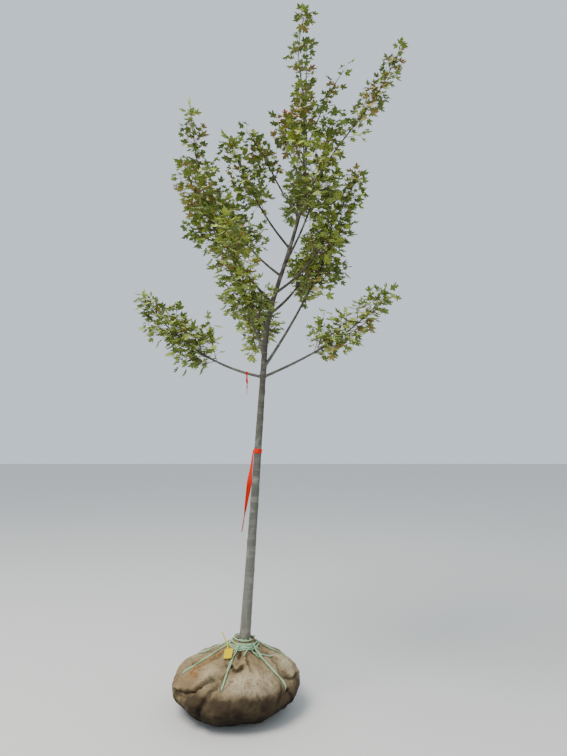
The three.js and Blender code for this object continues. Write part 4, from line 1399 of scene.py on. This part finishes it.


# %% [markdown]
# Where the cloth is stained or shaded is a matter of place, so it is worked out with the shape and kept
# on the points: painted shade in the creases; a darkening round the bottom and up above it that is partly
# soil and damp and partly painted shade; rust-brown blotches on the shoulders; and bleached patches between
# the strands.

# %% Stains by place
# each blotch has an azimuth in degrees, a place, a width in degrees and a height in places
RUSTY = [
    (207, 6.5, 14, 1.2),
    (221, 5.8, 12, 0.9),
    (205, 8.2, 16, 0.8),
    (60, 5.5, 20, 1.1),
    (130, 4.6, 18, 1.0),
]
BLEACHED = [
    (296, 5.4, 20, 1.1),
    (350, 6.3, 18, 1.5),
    (232, 6.4, 14, 1.0),
    (150, 6.4, 18, 1.0),
    (275, 5.9, 12, 0.8),
]
SPLASHED = [(286, 4.2, 36, 2.6), (100, 4.2, 40, 2.6)]
# damp spots low on the ball, and two spots of painted shade in the hollow at the front of the neck
WET_AND_SHADED = [
    (318, 3.8, 18, 1.1),
    (262, 4.2, 24, 0.6),
    (273, 8.7, 8, 0.7),
    (271, 8.5, 6, 0.5),
    (346, 3.9, 14, 1.0),
    (236, 4.0, 12, 0.8),
]


def blotched(spots):
    """How strongly each point of the cloth lies in one of the blotches."""
    return sum(
        hump(np.degrees(round_from(grid_azimuth, azimuth)), wide) * hump(grid_place - place, tall)
        for azimuth, place, wide, tall in spots
    )


grain = soft_noise(cloth, 60) + 0.6 * soft_noise(cloth, 22)
# the height of the cloth in mm, made uneven, decides how dark it is towards the bottom, partly damp and soil
# and partly painted shade
level = cloth[..., 2] + 52 * grain - 46 * blotched(SPLASHED)
damp_and_shade = 0.8 * (1 - smoothstep(70, 245, level)) + 0.6 * blotched(WET_AND_SHADED)
# soil and painted shade: darker near the bottom, painted shade in the creases, and random soil
soil_and_shade = 0.92 * (1 - smoothstep(25, 182, level)) + 0.6 * crease + 0.3 * smoothstep(0.45, 0.85, grain)
rust = blotched(RUSTY) * (0.4 + 0.8 * grain)
bleached = blotched(BLEACHED) * (0.75 + 0.6 * grain)
# the values on the cloth, the most they reach, and the values below it and inside its rim; damp and soil also
# carry painted shade
STAINS = {
    "damp_and_shade": (damp_and_shade, 0.9, 0.9, 0.4),
    "soil_and_shade": (soil_and_shade, 1, 1.0, 0.2),
    "rust": (rust, 1, 0.0, 0.0),
    "bleached": (bleached, 1, 0.0, 0.0),
}
for name, (values, most, low, high) in STAINS.items():
    keep_value(ball, name, for_rings(np.clip(values, 0, most), low, high))
    print(f"{name} covers {(values > 0.5).mean():.0%} of the cloth")

# %% [markdown]
# Burlap is a plain weave of jute, two threads crossing every 3 mm. Its UV map is in metres of
# cloth, so the threads keep their pitch and crowd together where the cloth is gathered.

# %% Burlap's UV map
ROUND_CLOTH = 2.1  # metres of cloth round the ball
steps_up = np.linalg.norm(np.diff(rings[:, 0], axis=0), axis=1)
cloth_length = np.concatenate([[0], np.cumsum(steps_up)]) * MM
uv = ball.data.uv_layers.new(name="cloth")
coordinates = []
for face in ball.data.polygons:
    columns = [v % CLOTH_COLUMNS if v < len(rings) * CLOTH_COLUMNS else None for v in face.vertices]
    known = [c for c in columns if c is not None]
    wraps = CLOTH_COLUMNS - 1 in known and 0 in known
    for vertex, column in zip(face.vertices, columns):
        column = known[0] if column is None else column
        column = CLOTH_COLUMNS if wraps and column == 0 else column
        row = min(vertex // CLOTH_COLUMNS, len(rings) - 1)
        coordinates.append((column / CLOTH_COLUMNS * ROUND_CLOTH, cloth_length[row]))
uv.data.foreach_set("uv", np.ravel(coordinates))
print("cloth from under the ball to inside its rim:", round(float(cloth_length[-1]), 2), "m")


# %% Burlap finish
def burlap_material():
    made, tree = new_material("burlap", 0.95, 0.15)
    along = node(tree, "ShaderNodeTexCoord").outputs["UV"]
    across = node(tree, "ShaderNodeMapping", {"Vector": along, "Rotation": (0, 0, math.pi / 2)}).outputs[0]
    woven = maths(tree, "MAXIMUM", *(threads(tree, place, 104, 1.4) for place in (along, across)))

    def stained(name, under, tone):
        kept = node(tree, "ShaderNodeAttribute", attribute_name=name).outputs["Fac"]
        return mixed(tree, kept, under, tone)

    jute = mixed(tree, patches(tree, 7.5, 0.5, 0.16)["Mask"], "ab9670", "8d7959")
    rusty = stained("rust", stained("bleached", jute, "c6b594"), "946d3c")
    specks = maths(tree, "MULTIPLY", patches(tree, 64, 0.4, 0.06)["Mask"], 0.55)
    # damp and soil darken the cloth towards the bottom and in the creases, partly as painted shade
    damp_and_shade = stained("damp_and_shade", mixed(tree, specks, rusty, "4f4131"), "4a3d2e")
    soiled = stained("soil_and_shade", damp_and_shade, "1e1813")
    # painted shade between the threads and painted light on their crowns, multiplied over the stained colour
    weave_light_and_shade = mixed(tree, 1.0, soiled, ranged(tree, woven, 0.0, 1.0, 0.72, 1.12), "MULTIPLY")
    return painted(made, weave_light_and_shade, woven, 0.0012)


dress(ball, burlap_material(), "burlap", "root_ball")

# %% [markdown]
# ## Twine
#
# The lacing is 6 mm twine of three plies, doubled over the ball and wound round the neck. A
# twisted rope is a three-lobed ring swept along a path while it turns, so a second node tree
# adds that turn to the sweep. A taut strand bridges the hollows in the cloth, and ends by diving
# into the pucker that it makes. Four knots hold the turns at the neck, with their cut ends loose.

# %% The tree that twists twine
def twine_tree():
    """Three plies: a ring with three lobes, tilted one full turn for each length of lay."""
    starts = {"Radius": 0.0031, "Lobe": 0.2, "Lay": 0.024, "Step": 0.003}
    tree, given, out = growing_tree("twisted twine", starts)
    curves = node(tree, "GeometryNodeMeshToCurve", {0: given["Geometry"]}).outputs[0]
    even = node(tree, "GeometryNodeResampleCurve", {"Curve": curves, "Length": given["Step"]}, mode="LENGTH")
    far = node(tree, "GeometryNodeSplineParameter").outputs["Length"]
    tilt = maths(tree, "MULTIPLY", maths(tree, "DIVIDE", far, given["Lay"]), 2 * math.pi)
    turned = node(tree, "GeometryNodeSetCurveTilt", {"Curve": even.outputs[0], "Tilt": tilt}).outputs[0]
    ring = node(tree, "GeometryNodeCurvePrimitiveCircle", {"Resolution": 12, "Radius": 1.0}).outputs["Curve"]
    share = node(tree, "GeometryNodeSplineParameter").outputs["Factor"]
    swing = maths(tree, "COSINE", maths(tree, "MULTIPLY", share, 6 * math.pi))
    bulge = maths(tree, "MULTIPLY_ADD", swing, given["Lobe"], 1.0)
    reach = maths(tree, "MULTIPLY", bulge, given["Radius"])
    place = node(tree, "GeometryNodeInputPosition").outputs[0]
    lobed = node(tree, "ShaderNodeVectorMath", {0: place, "Scale": reach}, operation="SCALE").outputs[0]
    plies = node(tree, "GeometryNodeSetPosition", {"Geometry": ring, "Position": lobed}).outputs[0]
    sweep = {"Curve": turned, "Profile Curve": plies, "Fill Caps": True}
    return finished(tree, node(tree, "GeometryNodeCurveToMesh", sweep), given, out)


# %% Where the twine runs
CORD_LIFT = 3.6  # from the cloth to the middle of a cord that lies on it
CORDS_APART = 4.0  # from the middle of a strand to each of its two cords
NECK_TURNS = [
    # place, number of turns, slant in places, and the bearing where each length starts
    (11.0, 2.2, 0.1, 20),
    (9.95, 2.2, 0.3, 130),
    (9.45, 2.3, 0.28, 250),
]
KNOTS = [
    # azimuth in degrees, place, height off the cloth and size in mm, and lean of each knot
    (304, 9.6, 9, 3.6, 0.6),
    (306, 9.7, 12, 3.0, 2.1),
    (254, 9.8, 7, 2.8, 1.3),
    (326, 9.3, 6, 2.6, 2.8),
]
LOOSE_ENDS = [
    # azimuth and place where each cut end leaves its knot, and where it stops
    (304, 9.5, 328, 7.9),
    (304, 9.5, 350, 7.2),
    (300, 9.4, 283, 8.3),
    (254, 9.7, 241, 9.0),
    (256, 9.8, 300, 9.5),
    (318, 9.9, 345, 8.8),
]
print(len(NECK_TURNS), "lengths round the neck,", len(KNOTS), "knots and", len(LOOSE_ENDS), "cut ends")

# %% [markdown]
# A cord under tension doesn't follow the cloth into its hollows. Its line is laid on the cloth,
# and each point that sags is lifted to the middle of its neighbours, again and again, until the
# line bridges the hollow. A running mean then takes out the small lumps that are left.

# %% Taut cords
def eased(values, width):
    """A line of points smoothed by a running mean, its ends kept."""
    padded = np.pad(values, ((width, width), (0, 0)), mode="edge")
    means = np.stack([padded[i : i + len(values)] for i in range(2 * width + 1)]).mean(0)
    means[0], means[-1] = values[0], values[-1]
    return means


def taut(points, out, rounds=500):
    """A line drawn tight over what it lies on: it rises off a hollow until it is straight."""
    points = points.copy()
    for _ in range(rounds):
        middle = (points[:-2] + points[2:]) / 2 - points[1:-1]
        rise = np.clip((middle * out[1:-1]).sum(1), 0, None)
        points[1:-1] += out[1:-1] * rise[:, None]
    return points


CORD_POINTS = 70
STRAND_TOP = 10.2  # the place over the neck where a strand begins
STRAND_TWIST = 3.4  # half turns of its two cords about each other
STUB_DEPTH = 10.0  # how far its end dives into the pucker


def strand_path(degrees, end, phase):
    """One of the two cords of a strand, from over the neck down to its pucker."""
    place = np.linspace(STRAND_TOP, end + 0.12, CORD_POINTS)
    radius = smooth_profile(place)[:, 0]
    turn = np.linspace(0, STRAND_TWIST, CORD_POINTS) * math.pi + phase
    azimuth = np.radians(degrees) + CORDS_APART * np.cos(turn) / radius
    middle = np.full(CORD_POINTS, np.radians(degrees))
    out = outward(middle, place)
    line = taut(cloth_point(middle, place, CORD_LIFT)[0], out)
    line = line + cloth_point(azimuth, place)[0] - cloth_point(middle, place)[0]
    line += out * (1.5 * np.sin(turn))[:, None]
    stub = cloth_point(azimuth[-1:], place[-1:] - 0.15, -STUB_DEPTH)[0]
    return eased(np.vstack([line, stub]), 2)


def neck_turns(place, turns, slant, start):
    """Turns of twine round the gathered neck, slightly slanted and never quite level."""
    count = int(90 * turns)
    azimuth = np.radians(start) + np.linspace(0, 2 * math.pi * turns, count)
    at = place + slant * np.sin(azimuth + start) + 0.08 * np.sin(2.3 * azimuth)
    at = at + np.linspace(-0.14, 0.14, count)
    lift = 3.4 + 1.4 * np.sin(3 * azimuth + start)
    return eased(taut(cloth_point(azimuth, at, lift)[0], outward(azimuth, at), 300), 1)


# %% Knots and loose ends
def knot_path(degrees, place, lift, size, lean):
    """A closed overhand knot, drawn up tight, with its middle lifted off the cloth."""
    t = np.linspace(0, 2 * math.pi, 70)
    loop = [np.sin(t) + 2 * np.sin(2 * t), np.cos(t) - 2 * np.cos(2 * t), -np.sin(3 * t) * 1.6]
    leaned = np.array(Matrix.Rotation(lean, 3, "X") @ Matrix.Rotation(lean * 1.7, 3, "Z"))
    centre = cloth_point(np.radians([degrees]), np.array([place]), float(lift))[0][0]
    return centre + np.stack(loop, -1) @ leaned * size


def loose_end(start_azimuth, start_place, azimuth, place):
    """A cut end that lies over the cloth."""
    share = np.linspace(0, 1, 30)
    angle = np.radians(start_azimuth + (azimuth - start_azimuth) * share)
    at = start_place + (place - start_place) * share
    lift = 4.5 + 9 * np.sin(math.pi * share) ** 2 * (1 - share)
    return eased(cloth_point(angle, at, lift)[0], 2)


# %% Lay the twine
paths = [strand_path(*strand, phase) for strand in STRANDS for phase in (0, math.pi)]
top_turns, *lower_turns = [neck_turns(*turns) for turns in NECK_TURNS]
paths += [top_turns + UP * 5, *lower_turns]
paths += [knot_path(*knot) for knot in KNOTS]
paths += [loose_end(*end) for end in LOOSE_ENDS]
twine_length = sum(np.linalg.norm(np.diff(path, axis=0), axis=1).sum() for path in paths) * MM
print("twine laid:", round(twine_length, 1), "m")

# %% Twine finish
def twine_material():
    made, tree = new_material("twine", 0.62)
    fibres = threads(tree, in_object(tree), 210, 6)
    worn = maths(tree, "MULTIPLY", patches(tree, 24, 0.42, 0.1)["Mask"], 0.3)
    # the fibres run from a dark green in their gaps to near-white on their crowns: painted shade and painted
    # highlights
    green_lit_and_shaded = mixed(tree, fibres, "80b78a", "e9f5d6")
    return painted(made, mixed(tree, worn, green_lit_and_shaded, "64795f"), fibres, 0.0006)


lines = path_mesh("twine_paths", paths)
twine = grown_by(twine_tree(), "laced_twine", lines, {"Finish": twine_material()})
dress(twine, None, "twine", "twine")

# %% [markdown]
# ## Tag
#
# A plastic tag leans out from the cloth beside the neck, with its own thin strap. It stays
# blank. It is a bent sheet with a thickness, so it is made as a curved grid of points, given a
# second side, and closed round its edges.

# %% Plastic
def plastic_material(name, tone, shade, roughness):
    made, tree = new_material(name, roughness, 0.05)
    scuffs = patches(tree, 38, 0.4, 0.12)
    some = maths(tree, "MULTIPLY", scuffs["Mask"], 0.3)
    return painted(made, mixed(tree, some, tone, shade), scuffs["Height"], 0.0008)


# %% Sheets
def sheet_piece(name, points, thickness):
    """A sheet from a grid of points in mm, given a thickness, with its edges closed."""
    rows, columns = points.shape[:2]
    out = unit(np.cross(np.gradient(points, axis=1), np.gradient(points, axis=0)))
    both = np.stack([points + out * thickness / 2, points - out * thickness / 2]).reshape(-1, 3)
    count = rows * columns
    faces = []
    for r in range(rows - 1):
        for c in range(columns - 1):
            a, b = r * columns + c, (r + 1) * columns + c
            faces.append((a, a + 1, b + 1, b))
            faces.append((count + a, count + b, count + b + 1, count + a + 1))
    edge = list(range(columns))
    edge += [r * columns + columns - 1 for r in range(1, rows)]
    edge += [(rows - 1) * columns + c for c in range(columns - 2, -1, -1)]
    edge += [r * columns for r in range(rows - 2, 0, -1)]
    for a, b in zip(edge, edge[1:] + edge[:1]):
        faces.append((b, a, count + a, count + b))
    return mesh_piece(name, both * MM, faces)


# %% [markdown]
# The cloth slopes away under the tag. Its plate leans out by one angle, is turned in its own
# plane by a second and faces aside by a third. It is then raised until it clears the highest
# crease beneath it.

# %% Where the tag stands
TAG_WIDE, TAG_LONG = 56, 52
TAG_AZIMUTH, TAG_PLACE, TAG_ASIDE = 241.8, 8.4, 14  # degrees, place and mm to the side
TAG_LEAN, TAG_TURN, TAG_YAW = math.radians(24), math.radians(11), math.radians(13)
TAG_CLEARANCE = 3
EDGE_BELOW, EDGE_LIFT = 0.45, 7  # its lower edge: places below its middle, and mm off the cloth
tag_at = np.radians([TAG_AZIMUTH]), np.array([TAG_PLACE])
seat, tag_out, tag_up = (way(*tag_at)[0] for way in (plain_ball, outward, uphill))
tag_across, tag_out = turned(unit(np.cross(tag_up, tag_out)), tag_out, TAG_YAW)
tag_across, tag_up = turned(tag_across, tag_up, TAG_TURN)
plate_up, _ = turned(tag_up, tag_out, TAG_LEAN)
plate_out, _ = turned(tag_out, -tag_up, TAG_LEAN)
low_edge = cloth_point(tag_at[0], tag_at[1] - EDGE_BELOW)[0][0] @ tag_out + EDGE_LIFT
seat = seat + tag_out * (low_edge - seat @ tag_out + TAG_LONG / 2 * math.sin(TAG_LEAN))
seat = seat + tag_across * TAG_ASIDE

# the plate lies clear of the highest crease in the cloth beneath it
off_azimuth, off_place = np.meshgrid(np.radians(np.linspace(-8, 8, 33)), np.linspace(-1.3, 0.7, 33))
beneath = cloth_point(tag_at[0] + off_azimuth.ravel(), tag_at[1] + off_place.ravel())[0] - seat
covered = (np.abs(beneath @ tag_across) < TAG_WIDE / 2) & (np.abs(beneath @ plate_up) < TAG_LONG / 2)
raised = max(0.0, (beneath @ plate_out)[covered].max() + TAG_CLEARANCE)
seat = seat + plate_out * raised
print("tag raised by", round(raised, 1), "mm to clear the cloth")

# %% The tag's plate
# its corners are drawn in a little, and it is bent
u, v = np.meshgrid(np.linspace(-1, 1, 15), np.linspace(-1, 1, 13))
corner = 1 - 0.045 * (u * v) ** 8
flat = (u * corner * TAG_WIDE / 2)[..., None] * tag_across + (v * corner * TAG_LONG / 2)[..., None] * plate_up
bend = 2.4 * u**2 + 1.6 * np.sin(v * TAG_LONG / 28)
plate = seat + flat + bend[..., None] * plate_out
tag = sheet_piece("blank_tag", plate, 1.0)
TAG_YELLOW = plastic_material("tag_yellow", "d6ba00", "c2a400", 0.5)
dress(tag, TAG_YELLOW, "tag_plastic", "tag")

# %% The tag's strap
STRAP_LEAN, STRAP_ASIDE = math.radians(62), math.radians(24)
STRAP_LONG, STRAP_HALF_WIDTH, STRAP_STEPS = 100, 4.5, 22
STRAP_OVERLAP, STRAP_OFF = 4, 1.6  # mm below the plate's upper edge, and in front of the plate
share = np.linspace(0, 1, STRAP_STEPS)
lean = (TAG_LEAN + (STRAP_LEAN - TAG_LEAN) * smoothstep(0, 0.4, share))[:, None]
leans_to, _ = turned(tag_out, -tag_across, STRAP_ASIDE)
rise = np.cos(lean) * tag_up + np.sin(lean) * leans_to
strap_foot = seat - tag_across * TAG_WIDE * 0.2 + plate_up * (TAG_LONG / 2 - STRAP_OVERLAP)
strap_foot = strap_foot + plate_out * STRAP_OFF
strap_line = strap_foot + np.cumsum(rise, 0) * STRAP_LONG / STRAP_STEPS
narrowing = STRAP_HALF_WIDTH * (1 - 0.4 * share[:, None])
strap_sides = [strap_line + tag_across * side * narrowing for side in (-1, 0, 1)]
strap = sheet_piece("tag_strap", np.stack(strap_sides, 1), 1.4)
dress(strap, TAG_YELLOW, "tag_plastic", "tag")

# %% [markdown]
# ## Ribbons
#
# Growers mark a tree that is sold with flagging tape: one length is tied round the trunk with a
# long twisted tail behind it, and a short one hangs from the lowest bough. Tape is thin, so its
# tail is a strip whose width turns as it falls, with a few creases across it.

# %% A falling tail
TAPE = plastic_material("flagging_tape", "d92c10", "a81f0c", 0.4)


def falling_tape(name, start, drift, width, length, turns, first_turn):
    """Tape that hangs from a point in mm, turning and drifting aside as it falls."""
    share = np.linspace(0, 1, 46)
    turn = first_turn + 2 * math.pi * turns * share + 0.25 * np.sin(17 * share)
    wide = np.stack([np.cos(turn), np.sin(turn), 0.15 * np.sin(11 * share)], -1)
    thick = np.stack([np.sin(turn), -np.cos(turn), 0 * share], -1)
    half = width / 2 * (0.42 + 0.58 * hump(share - 0.36, 0.26))
    centre = start - UP * (length * share)[:, None] + np.array([*drift, 0.0]) * (share**1.15)[:, None]
    columns = []
    for across in np.linspace(-1, 1, 7):
        curl = 2.2 * (across**2 - 0.4) + 0.8 * np.sin(24 * share + 5 * across)
        columns.append(centre + wide * (half * across)[:, None] + thick * curl[:, None])
    return sheet_piece(name, np.stack(columns, 1), 0.6)


# %% A tied band
BAND_SIDES = 56


def tape_band(name, points, radius, width, knot_turn):
    """Tape wound once round a limb and tied: rings with fine creases, closed into a band."""
    ways, firsts, seconds = frames_along(points)
    turns = np.linspace(0, 2 * np.pi, BAND_SIDES, endpoint=False)
    off_knot = short_way(turns - knot_turn)
    knot, pinch = 2.4 * hump(off_knot, 0.16), 1 - 0.35 * hump(off_knot, 0.3)
    middle = len(points) // 2
    rows = np.linspace(-1, 1, 9)
    outer = [(row, 1.7 + knot) for row in rows]
    inner = [(row, 0.9) for row in rows[::-1]]
    rings = []
    for row, off in outer + inner:
        crease = 0.45 * np.sin(9 * turns + 4 * row) + 0.3 * np.sin(23 * turns - 3 * row)
        reach = radius + off + crease * 0.8
        ring = points[middle] + ways[middle] * (row * width / 2 * pinch)[:, None]
        ring = ring + firsts[middle] * (reach * np.cos(turns))[:, None]
        rings.append(ring + seconds[middle] * (reach * np.sin(turns))[:, None])
    rings = np.array(rings)[::-1]
    return mesh_piece(name, rings.reshape(-1, 3) * MM, ring_faces(len(rings), BAND_SIDES, True))


# %% Ribbons on the trunk and bough
BAND_HEIGHT = 1424
TAIL_BEARING, TAIL_REACH = math.radians(128), 44.5  # where the tail hangs behind the trunk
TIE_SHARE = 0.115  # how far along the lowest bough the short tape is tied
band_line = trunk_point(np.linspace(BAND_HEIGHT - 20, BAND_HEIGHT + 20, 9))
band = tape_band("trunk_tape", band_line, trunk_radius(BAND_HEIGHT) + 1.1, 26, math.radians(150))
dress(band, TAPE, "tape", "ribbon_trunk")
tail_start = trunk_point(BAND_HEIGHT) + TAIL_REACH * circle(TAIL_BEARING) + UP * 10
tail = falling_tape("trunk_tape_tail", tail_start, (-68, 6), 30, 484, 0.48, math.radians(276))
dress(tail, TAPE, "tape", "ribbon_trunk")
tie_line = limb_point(0, np.linspace(TIE_SHARE - 0.015, TIE_SHARE + 0.015, 9))
tie_radius = limb_radius(0, TIE_SHARE) + 1
tie = tape_band("bough_tape", tie_line, tie_radius, 13, 4.7)
dress(tie, TAPE, "tape", "ribbon_bough")
hang = limb_point(0, TIE_SHARE) - UP * tie_radius
short_tail = falling_tape("bough_tape_tail", hang, (2, 4), 13, 118, 0.3, 0)
dress(short_tail, TAPE, "tape", "ribbon_bough")

# %% [markdown]
# ## The end

# %% End
print("the tree is dressed")
